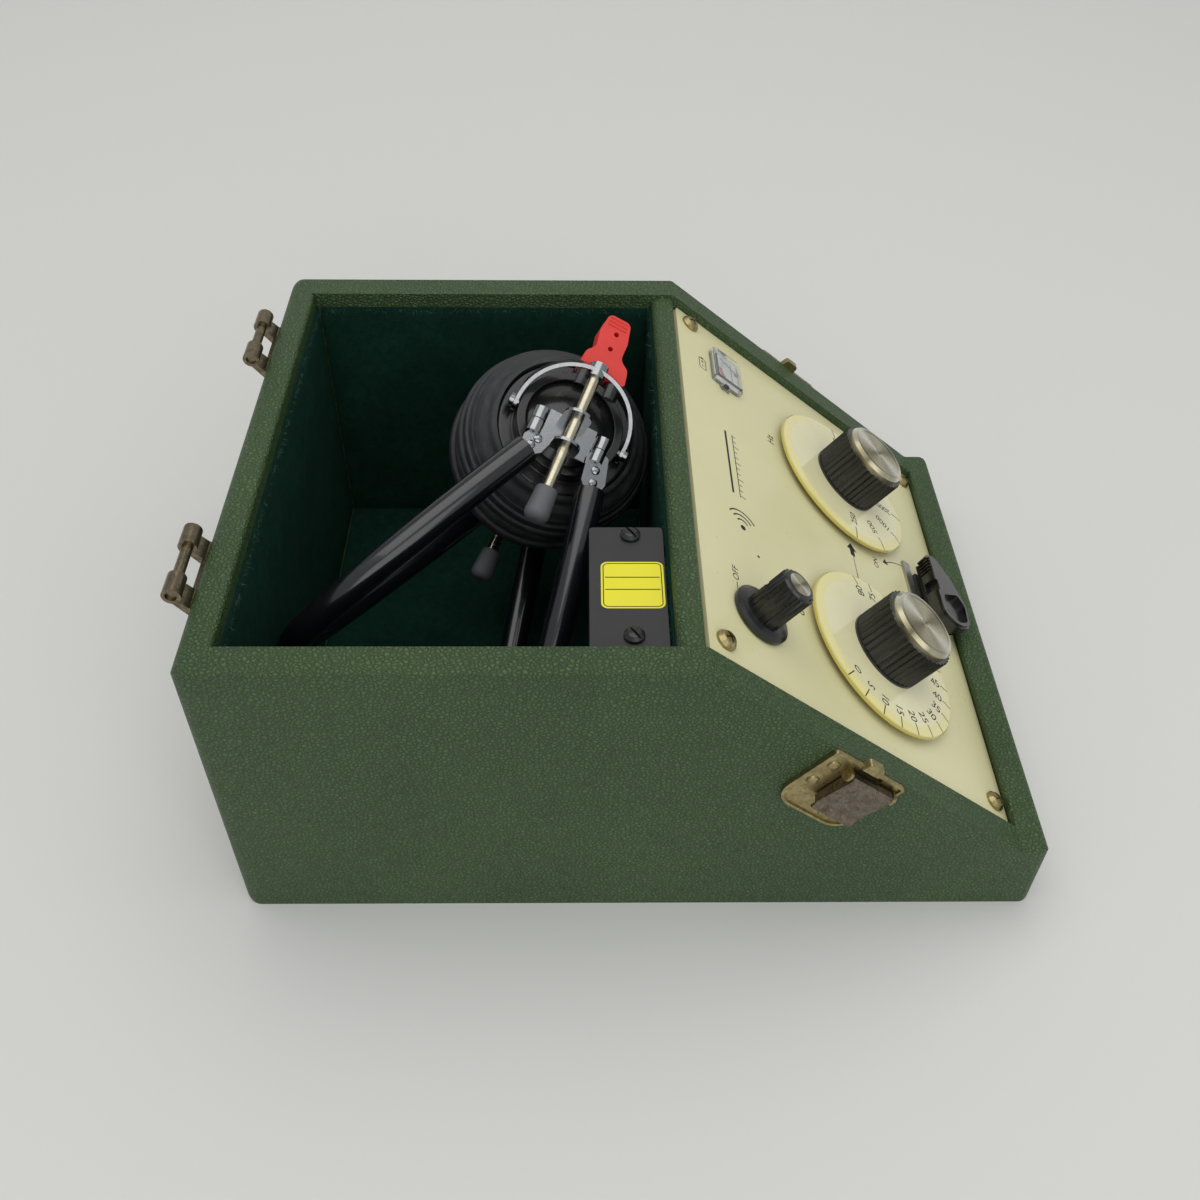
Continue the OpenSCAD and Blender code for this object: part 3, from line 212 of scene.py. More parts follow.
def leatherette(name, base, light, dark):
    m = Mat(name, base, 0.5)
    m.b.inputs["Specular IOR Level"].default_value = 0.45
    warp = m.noise(2.2, 3, 0.6)
    co = m.n.new("ShaderNodeVectorMath")
    co.operation = "ADD"
    m.l.new(m.co, co.inputs[0])
    m.l.new(warp, co.inputs[1])
    edge = m.voronoi(1.25, "DISTANCE_TO_EDGE", co=co.outputs[0])
    fine = m.voronoi(0.6, smooth=0.6, co=co.outputs[0])
    big = m.noise(38, 5, 0.6)
    mid = m.noise(5, 5, 0.7)
    c = m.mix(m.mapr(big, 0.3, 0.7), dark, light)
    c = m.mix(m.math("MULTIPLY", m.mapr(mid, 0.35, 0.75), 0.25), c, base)
    # painted shade: the creases between the pebbles are darkened in the colour
    crease_shade = m.mapr(edge, 0.16, 0.0)
    c = m.mix(m.math("MULTIPLY", crease_shade, 0.72), c, tuple(x * 0.25 for x in dark[:3]) + (1,))
    # painted highlight: the crowns of the pebbles are lightened in the colour
    crown_highlight = tuple(min(1, x * 1.8) for x in light[:3]) + (1,)
    c = m.mix(m.math("MULTIPLY", m.mapr(edge, 0.22, 0.45), 0.35), c, crown_highlight)
    scuff = m.mapr(m.noise(2.2, 6, 0.75, distort=1.5), 0.66, 0.78)
    c = m.mix(m.math("MULTIPLY", scuff, 0.22), c, lin(140, 150, 112))
    m.color(c)
    m.rough(mid, 0.38, 0.58)
    m.bump(m.mapr(edge, 0.0, 0.3), 0.32, 0.9)
    m.bump(m.math("SUBTRACT", 1.0, fine), 0.08, 0.5)
    return m


def felt_mat():
    m = Mat("felt_cloth", lin(9, 34, 26), 0.97)
    m.b.inputs["Specular IOR Level"].default_value = 0.08
    m.b.inputs["Sheen Weight"].default_value = 0.22
    m.b.inputs["Sheen Roughness"].default_value = 0.7
    m.b.inputs["Sheen Tint"].default_value = lin(60, 110, 90)
    fib = m.noise(0.45, 8, 0.8, distort=2.5)
    clump = m.noise(2.6, 6, 0.7)
    big = m.noise(28, 3)
    c = m.mix(m.mapr(clump, 0.35, 0.65), lin(2, 16, 12), lin(17, 50, 40))
    c = m.mix(m.math("MULTIPLY", m.mapr(fib, 0.42, 0.62), 0.75), c, lin(30, 72, 58))
    c = m.mix(m.math("MULTIPLY", m.mapr(big, 0.35, 0.7), 0.5), c, lin(3, 20, 16))
    lint = m.mapr(m.noise(0.8, 2, 0.5, distort=3.0), 0.75, 0.80)
    c = m.mix(m.math("MULTIPLY", lint, 0.35), c, lin(92, 118, 104))
    m.color(c)
    m.bump(fib, 0.6, 0.9)
    m.bump(clump, 0.9, 0.6)
    return m


def metal(name, color, rough, scratch=0.3, tint=None, grime=0.0, aniso=0.0):
    m = Mat(name, color, rough, 1.0)
    s = m.noise(2.2, 6, 0.65)
    fine = m.noise(0.35, 3)
    tarnish_and_dark_reflection = tint or tuple(x * 0.7 for x in color[:3]) + (1,)
    c = m.mix(m.math("MULTIPLY", m.mapr(s, 0.4, 0.7), scratch), color, tarnish_and_dark_reflection)
    if grime:
        g = m.mapr(m.noise(1.4, 6, 0.7, distort=1.0), 0.52, 0.66)
        c = m.mix(m.math("MULTIPLY", g, grime), c, lin(44, 36, 24))
    m.color(c)
    m.rough(s, rough * 0.75, min(1, rough * 1.5))
    m.bump(fine, 0.02, 0.35)
    return m


def plastic(name, color, rough, mottled=0.15, bump=0.02, size=0.4, coat=0.0):
    m = Mat(name, color, rough)
    m.b.inputs["Coat Weight"].default_value = coat
    s = m.noise(9, 4)
    f = m.noise(size, 4)
    pale = tuple(min(1, x * 1.6 + 0.01) for x in color[:3]) + (1,)
    m.color(m.mix(m.math("MULTIPLY", m.mapr(s, 0.3, 0.7), mottled), color, pale))
    m.rough(s, rough * 0.8, min(1, rough * 1.3))
    m.bump(f, bump, 0.5)
    return m


M = {}
M["leatherette"] = leatherette("leatherette_green", lin(61, 87, 47), lin(65, 91, 50), lin(56, 81, 43))
M["felt"] = felt_mat()
M["brass"] = metal("aged_brass", lin(178, 164, 118), 0.32, 0.7, lin(122, 108, 70), 0.5)
M["bronze"] = metal("aged_bronze", lin(138, 127, 106), 0.27, 0.75, lin(84, 74, 56), 0.5)
M["chrome"] = metal("bright_chrome", lin(150, 152, 154), 0.16, 0.35)
M["nickel"] = metal("nickel_cream", lin(184, 178, 156), 0.24, 0.4, lin(150, 142, 118))
M["spring"] = metal("spring_steel", lin(150, 152, 156), 0.3, 0.3)
M["works"] = metal("turned_metal", lin(150, 150, 150), 0.35, 0.3)
M["vinyl"] = plastic("black_vinyl", lin(14, 15, 19), 0.20, 0.12, 0.03, 1.4, 0.45)
M["black"] = plastic("black_moulding", lin(19, 19, 19), 0.27, 0.2, 0.02, 0.5, 0.2)
M["box"] = plastic("charcoal_box", lin(40, 40, 42), 0.5, 0.2, 0.05, 0.35)
M["coral"] = plastic("coral_moulding", lin(208, 52, 44), 0.42, 0.25, 0.03, 0.5)
M["blue"] = plastic("blue_moulding", lin(40, 64, 130), 0.42, 0.25, 0.03, 0.5)
M["paddle"] = plastic("paddle_black", lin(17, 17, 18), 0.24, 0.2, 0.015, 0.9, 0.35)
M["ivory"] = plastic("ivory_acrylic", lin(244, 240, 218), 0.16, 0.1, 0.01, 2.0, 0.5)
M["battery"] = plastic("battery_sleeve", lin(120, 60, 34), 0.4)
M["board"] = plastic("phenolic_board", lin(120, 92, 46), 0.55)
M["yellow"] = plastic("yellow_label", lin(232, 222, 40), 0.45, 0.08)
M["ink"] = plastic("black_ink", lin(26, 26, 28), 0.6, 0.1)
M["red_ink"] = plastic("red_ink", lin(190, 40, 30), 0.6, 0.1)
M["felt_lint"] = plastic("felt_lint", lin(70, 92, 80), 0.95, 0.6)
M["white"] = plastic("white_card", lin(236, 236, 230), 0.6, 0.05)


def panel_mat():
    m = Mat("cream_enamel", lin(219, 214, 168), 0.30)
    big = m.noise(60, 4)
    sp = m.voronoi(7.5, "F1", out="Distance")
    speck = m.mapr(sp, 0.045, 0.03)
    c = m.mix(m.mapr(big, 0.3, 0.7), lin(214, 209, 162), lin(222, 217, 173))
    c = m.mix(m.math("MULTIPLY", speck, 0.35), c, lin(120, 104, 70))
    m.color(c)
    m.rough(big, 0.26, 0.36)
    m.bump(m.noise(0.8, 3), 0.01, 0.3)
    return m


def dial_mat(x):
    m = Mat("dial_ivory_%s" % ("left" if x < 0 else "right"), lin(232, 226, 182), 0.14)
    m.b.inputs["Coat Weight"].default_value = 0.5
    co = m.local(PANEL @ Matrix.Translation(Vector((x, -DIAL_V, 0)) * MM))
    s = m.xyz(co)
    r = m.math("SQRT", m.math("ADD", m.math("MULTIPLY", s[0], s[0]), m.math("MULTIPLY", s[1], s[1])))
    edge = m.mapr(r, 31.1, 31.6)
    low = m.mapr(s[2], 3.3, 2.6)
    gold = m.math("MAXIMUM", edge, low)
    bevel = m.mapr(r, 27.9, 28.3)
    c = m.mix(m.mapr(m.noise(25, 3), 0.3, 0.7), lin(229, 223, 176), lin(236, 231, 190))
    c = m.mix(m.math("MULTIPLY", bevel, 0.8), c, lin(232, 222, 150))
    c = m.mix(gold, c, lin(196, 182, 92))
    m.color(c)
    m.b.inputs["Subsurface Weight"].default_value = 0.15
    m.b.inputs["Subsurface Radius"].default_value = (0.002, 0.0015, 0.0006)
    m.bump(m.noise(1.5, 2), 0.004, 0.3)
    return m


def cap_mat(name, x, v):
    m = Mat(name, lin(206, 202, 178), 0.28, 1.0)
    co = m.local(PANEL @ Matrix.Translation(Vector((x, -v, 0)) * MM))
    s = m.xyz(co)
    r = m.math("SQRT", m.math("ADD", m.math("MULTIPLY", s[0], s[0]), m.math("MULTIPLY", s[1], s[1])))
    comb = m.n.new("ShaderNodeCombineXYZ")
    m.l.new(r, comb.inputs[0])
    rings = m.noise(0.16, 2, 0.5, co=comb.outputs[0])
    # painted reflection: a dark wedge and a bright glint (painted highlight) are swept round the spun cap by angle
    ang = m.math("ARCTAN2", s[1], s[0])
    glint = m.math("ABSOLUTE", m.math("SINE", m.math("ADD", ang, 0.6)))
    glint = m.math("POWER", glint, 9)
    tarnish_and_dark_reflection = m.math("ABSOLUTE", m.math("SINE", m.math("ADD", m.math("MULTIPLY", ang, 2.0), 0.2)))
    c = m.mix(m.mapr(rings, 0.3, 0.7), lin(158, 152, 124), lin(212, 206, 178))
    c = m.mix(m.math("MULTIPLY", m.math("POWER", tarnish_and_dark_reflection, 3), 0.75), c, lin(96, 88, 64))
    c = m.mix(m.math("MULTIPLY", glint, 0.75), c, lin(255, 253, 238))
    m.color(c)
    m.b.inputs["Anisotropic"].default_value = 0.6
    m.rough(rings, 0.2, 0.36)
    m.bump(rings, 0.03, 0.5)
    return m


def rubber_mat(name, matrix):
    m = Mat(name, lin(36, 37, 39), 0.58)
    dust = m.noise(4.5, 6, 0.7)
    fine = m.noise(0.4, 4)
    streak = m.noise(2.0, 5, 0.6, co=m.stretch(m.local(matrix), (0.3, 0.3, 1.6)))
    c = m.mix(m.mapr(dust, 0.35, 0.7), lin(27, 28, 30), lin(50, 51, 53))
    c = m.mix(m.math("MULTIPLY", m.mapr(streak, 0.5, 0.75), 0.3), c, lin(84, 84, 82))
    m.color(c)
    m.rough(dust, 0.5, 0.75)
    m.bump(fine, 0.05, 0.5)
    m.bump(dust, 0.15, 0.3)
    return m


def clear_mat():
    m = Mat("clear_acrylic", (0.95, 0.97, 0.97, 1), 0.06)
    m.b.inputs["Transmission Weight"].default_value = 0.95
    m.b.inputs["IOR"].default_value = 1.35
    m.bump(m.noise(6, 2), 0.01, 0.2)
    return m


def lever_mat():
    m = Mat("worn_nickel", lin(140, 130, 116), 0.36, 1.0)
    s = m.noise(2.6, 6, 0.7, distort=1.2)
    scr = m.noise(1.0, 4, 0.6, co=m.stretch(m.co, (1.0, 3.4, 0.5)))
    c = m.mix(m.mapr(s, 0.4, 0.65), lin(128, 118, 108), lin(96, 84, 66))
    c = m.mix(m.math("MULTIPLY", m.mapr(scr, 0.62, 0.7), 0.8), c, lin(196, 178, 120))
    m.color(c)
    m.rough(s, 0.28, 0.5)
    m.bump(scr, 0.03, 0.5)
    return m


M["panel"] = panel_mat()
M["dial_l"] = dial_mat(-DIAL_X)
M["dial_r"] = dial_mat(DIAL_X)
M["cap_l"] = cap_mat("spun_cap_left", -DIAL_X, DIAL_V)
M["cap_r"] = cap_mat("spun_cap_right", DIAL_X, DIAL_V)
M["cap_o"] = cap_mat("spun_insert", -59, 26.3)
M["rub_u"] = rubber_mat("cushion_rubber_upper", HEAD)
M["rub_l"] = rubber_mat("cushion_rubber_lower", HEAD)
M["clear"] = clear_mat()
M["lever"] = lever_mat()
M["wood"] = plastic("cleat_wood", lin(190, 150, 100), 0.6, 0.3, 0.1, 1.5)

USE = {
    "leatherette": "side_wall_left side_wall_right back_wall front_wall base_board divider",
    "felt": "felt_floor felt_back felt_front felt_left felt_right",
    "wood": "panel_cleats", "panel": "panel", "brass": "panel_screws catch_plate_left catch_plate_right catch_pins",
    "bronze": "hinge_left hinge_right hinge_pins hinge_screws", "lever": "catch_lever_left catch_lever_right",
    "box": "battery_case battery_cover", "black": "cover_screws decibel_knob frequency_knob output_knob "
    "tone_switch upper_receiver lower_receiver",
    "battery": "batteries", "works": "decibel_attenuator frequency_switch output_switch meter_body tone_spindle",
    "board": "circuit_board", "clear": "meter_lens", "dial_l": "decibel_dial", "dial_r": "frequency_dial",
    "cap_l": "decibel_cap", "cap_r": "frequency_cap", "cap_o": "output_insert", "paddle": "tone_paddle",
    "chrome": "upper_bracket lower_bracket band_leaves leaf_pins upper_yoke lower_yoke",
    "nickel": "upper_rod lower_rod", "spring": "band_springs", "vinyl": "band_tubes",
    "rub_u": "upper_cushion", "rub_l": "lower_cushion", "coral": "upper_connector", "blue": "lower_connector",
}
for key, names in USE.items():
    for n in names.split():
        o = nodes[n]
        o.data.materials.clear()
        o.data.materials.append(M[key].m)


def bevel(names, width, segments=2, angle=35):
    for n in names.split():
        md = nodes[n].modifiers.new("edge", "BEVEL")
        md.width = width * MM
        md.segments = segments
        md.limit_method = "ANGLE"
        md.angle_limit = math.radians(angle)
        md.harden_normals = False


def smooth(names, angle=35):
    for n in names.split():
        o = nodes[n]
        for p in o.data.polygons:
            p.use_smooth = True
        o.data.set_sharp_from_angle(angle=math.radians(angle))


# ---- piece helpers ----
def new_obj(name, bm, mat, body="case", smooth_angle=None):
    me = bpy.data.meshes.new(name)
    bm.normal_update()
    bm.to_mesh(me)
    bm.free()
    o = bpy.data.objects.new(name, me)
    scene.collection.objects.link(o)
    for mm in (mat if isinstance(mat, (list, tuple)) else [mat]):
        me.materials.append(mm.m)
    if smooth_angle is not None:
        for p in me.polygons:
            p.use_smooth = True
        me.set_sharp_from_angle(angle=math.radians(smooth_angle))
    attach(o, body)
    return o


def lathe(profile, matrix, steps=96, wobble=None):
    """Revolves [(r, z)] in mm about z and places it by matrix."""
    bm = bmesh.new()
    rings = []
    for r, z in profile:
        ring = []
        for i in range(steps):
            a = 2 * math.pi * i / steps
            rr = r + (wobble(a, r, z) if wobble else 0)
            ring.append(bm.verts.new(matrix @ (Vector((rr * math.cos(a), rr * math.sin(a), z)) * MM)))
        rings.append(ring)
    for k in range(len(rings) - 1):
        for i in range(steps):
            j = (i + 1) % steps
            bm.faces.new((rings[k][i], rings[k][j], rings[k + 1][j], rings[k + 1][i]))
    bm.faces.new(list(reversed(rings[0])))
    bm.faces.new(rings[-1])
    bmesh.ops.recalc_face_normals(bm, faces=bm.faces)
    return bm


def strokes(name, polys, matrix, lift, mat, body):
    """Thin printed shapes: closed outlines in local mm, lifted off the face by a few hundredths."""
    bm = bmesh.new()
    t = 0.03
    for poly in polys:
        top = [bm.verts.new(matrix @ (Vector((x, y, lift + t)) * MM)) for x, y in poly]
        bot = [bm.verts.new(matrix @ (Vector((x, y, lift)) * MM)) for x, y in poly]
        bm.faces.new(top)
        bm.faces.new(list(reversed(bot)))
        for i in range(len(poly)):
            j = (i + 1) % len(poly)
            bm.faces.new((top[j], top[i], bot[i], bot[j]))
    bmesh.ops.recalc_face_normals(bm, faces=bm.faces)
    return new_obj(name, bm, mat, body)


def bar(x0, y0, x1, y1, w):
    d = Vector((x1 - x0, y1 - y0))
    d.normalize()
    n = Vector((-d.y, d.x)) * w / 2
    return [(x0 - n.x, y0 - n.y), (x1 - n.x, y1 - n.y), (x1 + n.x, y1 + n.y), (x0 + n.x, y0 + n.y)]


def label_text(name, txt, matrix, x, y, size, angle, body, mat=None, lift=0.03, align="CENTER", space=1.0):
    """Generic lettering as a mesh, set at x, y in local mm."""
    cu = bpy.data.curves.new(name, "FONT")
    cu.body = txt
    cu.size = size * MM
    cu.align_x = align
    cu.align_y = "CENTER"
    cu.space_character = space
    cu.extrude = 0.012 * MM
    cu.resolution_u = 3
    tmp = bpy.data.objects.new(name + "_c", cu)
    scene.collection.objects.link(tmp)
    bpy.context.view_layer.update()
    dg = bpy.context.evaluated_depsgraph_get()
    me = bpy.data.meshes.new_from_object(tmp.evaluated_get(dg))
    bpy.data.objects.remove(tmp)
    me.transform(matrix @ Matrix.Translation(Vector((x, y, lift)) * MM)
                 @ Matrix.Rotation(math.radians(angle), 4, "Z"))
    me.materials.clear()
    me.materials.append((mat or M["ink"]).m)
    o = bpy.data.objects.new(name, me)
    scene.collection.objects.link(o)
    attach(o, body)
    return o


# ---- softened edges on the CAD solids ----
bevel("side_wall_left side_wall_right", 1.3, 3, 30)
bevel("back_wall front_wall divider", 1.0, 2, 30)
bevel("panel", 0.25, 2)
bevel("hinge_left hinge_right", 0.2, 2)
bevel("catch_plate_left catch_plate_right catch_lever_left catch_lever_right", 0.22, 2, 30)
bevel("battery_case battery_cover", 0.5, 2)
bevel("tone_switch", 0.3, 2)
bevel("upper_bracket lower_bracket band_leaves", 0.18, 2, 40)
bevel("upper_yoke lower_yoke", 0.2, 2, 40)
bevel("upper_connector lower_connector", 0.9, 3, 40)
bevel("decibel_knob frequency_knob", 0.12, 1, 25)
bevel("cover_screws panel_screws output_knob", 0.1, 1, 30)
smooth("upper_rod lower_rod upper_receiver lower_receiver band_springs hinge_pins decibel_dial "
       "frequency_dial decibel_cap frequency_cap output_insert panel_screws cover_screws hinge_left hinge_right "
       "hinge_screws catch_pins leaf_pins upper_yoke lower_yoke output_knob upper_bracket lower_bracket band_leaves "
       "upper_connector lower_connector tone_switch side_wall_left side_wall_right back_wall front_wall "
       "divider battery_case battery_cover meter_lens catch_plate_left catch_plate_right catch_lever_left "
       "catch_lever_right", 32)

# the rod nodes carry nickel rods with grey rubber tips: colour by place along the rod
mat_tip = plastic("rod_tip_rubber", lin(86, 87, 90), 0.6, 0.3, 0.06, 0.6)
for name in ("upper_rod", "lower_rod"):
    o = nodes[name]
    inv = HEAD.inverted()
    o.data.materials.append(mat_tip.m)
    for p in o.data.polygons:
        c = inv @ p.center
        if c.x / MM > 29.6:
            p.material_index = 1

# the receivers' pivot screws are bright
for name in ("upper_receiver", "lower_receiver"):
    o = nodes[name]
    inv = HEAD.inverted()
    o.data.materials.append(M["chrome"].m)
    for p in o.data.polygons:
        c = inv @ p.center
        if abs(c.y) / MM > 18.9 and abs(c.x) / MM < 4.5 and abs(c.z) / MM > 22:
            p.material_index = 1

# aluminium strip of the tone switch, which also stands for the lever's shadow on the panel (painted shadow), and a
# textured pad
M["pad"] = plastic("pad_textured", lin(40, 40, 36), 0.7, 0.5, 0.35, 0.7)
o = nodes["tone_switch"]
o.data.materials.clear()
o.data.materials.append(M["pad"].m)
pinv = PANEL.inverted()
o.data.materials.append(metal("strip_aluminium_shadow", lin(190, 190, 184), 0.35, 0.3).m)
for p in o.data.polygons:
    c = pinv @ p.center
    if -115.7 < c.y / MM < -111.5 and c.z > 0:
        p.material_index = 1

# ---- tone paddle: the CAD's form with a drafted lower edge and polished rounded edges ----
me = nodes["tone_paddle"].data.copy()
for v in me.vertices:
    q = pinv @ v.co
    if 4.6 * MM < q.z < 4.95 * MM:
        inward = Vector((2.5 * MM - q.x, -123.5 * MM - q.y, 0)).normalized()
        v.co = PANEL @ (q + inward * 0.4 * MM)
for p in me.polygons:
    p.use_smooth = True
me.set_sharp_from_angle(angle=math.radians(50))
paddle = bpy.data.objects.new("paddle_shell", me)
scene.collection.objects.link(paddle)
md = paddle.modifiers.new("edge", "BEVEL")
md.width = 0.45 * MM
md.segments = 3
md.limit_method = "ANGLE"
md.angle_limit = math.radians(40)
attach(paddle, "tone_press")
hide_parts("tone_paddle")

# ---- ear cushions: soft ribbed rubber, fuller than the CAD solid ----
def cushion_profile():
    pts = [(23.75, 10.1), (23.8, 21.2), (24.6, 21.95), (25.6, 21.3), (26.4, 19.6), (27.6, 18.6), (28.9, 17.6),
           (29.9, 16.2), (30.4, 15.3), (30.9, 14.8), (31.3, 13.6), (31.7, 12.9), (32.5, 12.6), (32.75, 11.6),
           (32.85, 10.4), (32.7, 9.6), (32.75, 9.0), (33.6, 8.6), (34.0, 7.6), (33.95, 6.2), (33.7, 5.3),
           (32.9, 4.8), (32.5, 4.3), (32.65, 3.5), (32.4, 2.4), (31.6, 1.4), (30.2, 0.7), (28.0, 0.35), (24, 0.3),
           (19.5, 0.45), (15.0, 1.2), (11.5, 2.6), (9.8, 4.2), (9.4, 6.0), (9.4, 9.8)]
    out = [pts[0]]
    for i in range(1, len(pts) - 2):
        p0, p1, p2, p3 = pts[i - 1], pts[i], pts[i + 1], pts[i + 2]
        for k in range(3):
            u = k / 3
            f = [(-u + 2 * u * u - u ** 3) / 2, (2 - 5 * u * u + 3 * u ** 3) / 2,
                 (u + 4 * u * u - 3 * u ** 3) / 2, (-u * u + u ** 3) / 2]
            out.append(tuple(sum(w * q[j] for w, q in zip(f, (p0, p1, p2, p3))) for j in (0, 1)))
    out += pts[-2:]
    return out


def cushion_mesh(matrix, seed):
    rnd = random.Random(seed)
    waves = [(rnd.randint(2, 5), rnd.uniform(0, 6.28), rnd.uniform(0.03, 0.10)) for _ in range(4)]

    def wob(a, r, z):
        k = max(0.0, (r - 26) / 8)
        return -k * (0.12 + sum(w * math.sin(n * a + ph) for n, ph, w in waves) * 0.6)
    bm = bmesh.new()
    prof = cushion_profile()
    steps = 144
    rings = []
    for r, z in prof:
        ring = []
        for i in range(steps):
            a = 2 * math.pi * i / steps
            rr = r + wob(a, r, z)
            ring.append(bm.verts.new(matrix @ (Vector((rr * math.cos(a), rr * math.sin(a), z)) * MM)))
        rings.append(ring)
    n = len(rings)
    for k in range(n):
        k2 = (k + 1) % n
        for i in range(steps):
            j = (i + 1) % steps
            bm.faces.new((rings[k][i], rings[k][j], rings[k2][j], rings[k2][i]))
    bmesh.ops.recalc_face_normals(bm, faces=bm.faces)
    return bm


for name, mtx, key, seed in (("upper", HEAD, "rub_u", 3), ("lower", LOWER, "rub_l", 5)):
    o = new_obj("ear_cushion_" + name, cushion_mesh(mtx, seed), M[key], name + "_earphone", 50)
    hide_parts(name + "_cushion")

# ---- ridges near the tips of the plug connectors ----
for name, mtx, key, body in (("upper", HEAD, "coral", "upper_earphone"), ("lower", LOWER, "blue", "lower_earphone")):
    bm = bmesh.new()
    for x in (-39.6, -41.0, -42.4):
        prof = [(x - 0.45, 28.25), (x - 0.3, 28.6), (x, 28.75), (x + 0.3, 28.6), (x + 0.45, 28.25)]
        ends = [[bm.verts.new(mtx @ (Vector((px, y, pz)) * MM)) for px, pz in prof] for y in (-1.9, 4.9)]
        for i in range(4):
            bm.faces.new((ends[0][i], ends[0][i + 1], ends[1][i + 1], ends[1][i]))
        bm.faces.new((ends[0][0], ends[0][4], ends[1][4], ends[1][0]))
        bm.faces.new(ends[0])
        bm.faces.new(list(reversed(ends[1])))
    bmesh.ops.recalc_face_normals(bm, faces=bm.faces)
    o = new_obj("plug_ridges_" + name, bm, M[key], body, 60)

# ---- headband tubes: round vinyl sleeves along the CAD's curve ----
def sleeve(bm, x0, y0, deg, reach, half, radius, seed):
    """Adds one bent tube in head-local mm: start point, direction, reach and half height of the arch."""
    d = Vector((math.cos(math.radians(deg)), math.sin(math.radians(deg)), 0))
    w = Vector((-d.y, d.x, 0))
    rings = []
    count = 150
    for k in range(count + 1):
        u = k / count
        t = math.pi * u + math.radians(9) * math.sin(4 * math.pi * u)
        p = Vector((x0, y0, 0)) + d * reach * math.sin(t) + Vector((0, 0, half * math.cos(t)))
        tan = (d * reach * math.cos(t) - Vector((0, 0, half * math.sin(t)))).normalized()
        n = tan.cross(w)
        rings.append((p, n, 0.0 if 0 < k < count else 0.12))
    sides = 44

    def ring(p, n, r):
        return [bm.verts.new(HEAD @ ((p + (w * math.cos(a) + n * math.sin(a)) * r) * MM))
                for a in [2 * math.pi * i / sides for i in range(sides)]]

    def wob(p):
        return -0.05 * abs(noise.noise(p * 0.12 + Vector((seed, 0, 0))))
    rows = [ring(p, n, radius - cut + wob(p)) for p, n, cut in rings]
    # the wall turns in at both ends
    rows = [ring(*rings[5][:2], radius - 1.1), ring(*rings[0][:2], radius - 1.1),
            ring(*rings[0][:2], radius - 0.5)] + rows
    rows += [ring(*rings[-1][:2], radius - 0.5), ring(*rings[-1][:2], radius - 1.1),
             ring(*rings[-6][:2], radius - 1.1)]
    for a, b in zip(rows, rows[1:]):
        for i in range(sides):
            j = (i + 1) % sides
            bm.faces.new((a[i], a[j], b[j], b[i]))


bm = bmesh.new()
sleeve(bm, 19, -11, -26, 89, 34, TUBE_D / 2, 1)
sleeve(bm, 22, 13.5, 10, 99.3, 34, TUBE_D / 2, 7)
bmesh.ops.recalc_face_normals(bm, faces=bm.faces)
o = new_obj("band_sleeves", bm, M["vinyl"], "headset", 50)
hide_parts("band_tubes")

# ---- felt lining: soft sheets with a nap, rolled edges and loose fibres ----
def felt_sheet(node, axis, inner):
    """A napped sheet in the room of its CAD solid; inner is the side of its thin axis that faces the bay."""
    lo, hi = [Vector(v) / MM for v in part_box(node)]
    u, v = [k for k in (0, 1, 2) if k != axis]
    nu, nv = [max(4, int(round((hi[k] - lo[k]) / 2.3))) for k in (u, v)]
    bm = bmesh.new()
    front, back = [], []
    for i in range(nu + 1):
        fr, bk = [], []
        for j in range(nv + 1):
            q = Vector((0, 0, 0))
            q[u] = lo[u] + (hi[u] - lo[u]) * i / nu
            q[v] = lo[v] + (hi[v] - lo[v]) * j / nv
            e = min(q[u] - lo[u], hi[u] - q[u], q[v] - lo[v], hi[v] - q[v])
            dip = 0.05 + 0.35 * abs(noise.noise(q * 0.09)) + 0.22 * abs(noise.noise(q * 0.45))
            dip += 0.55 * max(0.0, 1 - e / 2.0) ** 2
            p = q.copy()
            p[axis] = (hi[axis] - dip) if inner > 0 else (lo[axis] + dip)
            fr.append(bm.verts.new(p * MM))
            p[axis] = lo[axis] if inner > 0 else hi[axis]
            bk.append(bm.verts.new(p * MM) if i in (0, nu) or j in (0, nv) else None)
        front.append(fr)
        back.append(bk)
    for i in range(nu):
        for j in range(nv):
            bm.faces.new((front[i][j], front[i + 1][j], front[i + 1][j + 1], front[i][j + 1]))
    rim = [(i, 0) for i in range(nu)] + [(nu, j) for j in range(nv)] + [(i, nv) for i in range(nu, 0, -1)] \
        + [(0, j) for j in range(nv, 0, -1)]
    for a, b in zip(rim, rim[1:] + rim[:1]):
        bm.faces.new((front[a[0]][a[1]], front[b[0]][b[1]], back[b[0]][b[1]], back[a[0]][a[1]]))
    bm.faces.new([back[i][j] for i, j in rim])
    bmesh.ops.recalc_face_normals(bm, faces=bm.faces)
    o = new_obj("soft_" + node, bm, M["felt"], "case", 70)
    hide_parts(node)
    return o


for name, axis, inner in (("felt_floor", 2, 1), ("felt_back", 1, -1), ("felt_front", 1, 1),
                          ("felt_left", 0, 1), ("felt_right", 0, -1)):
    felt_sheet(name, axis, inner)

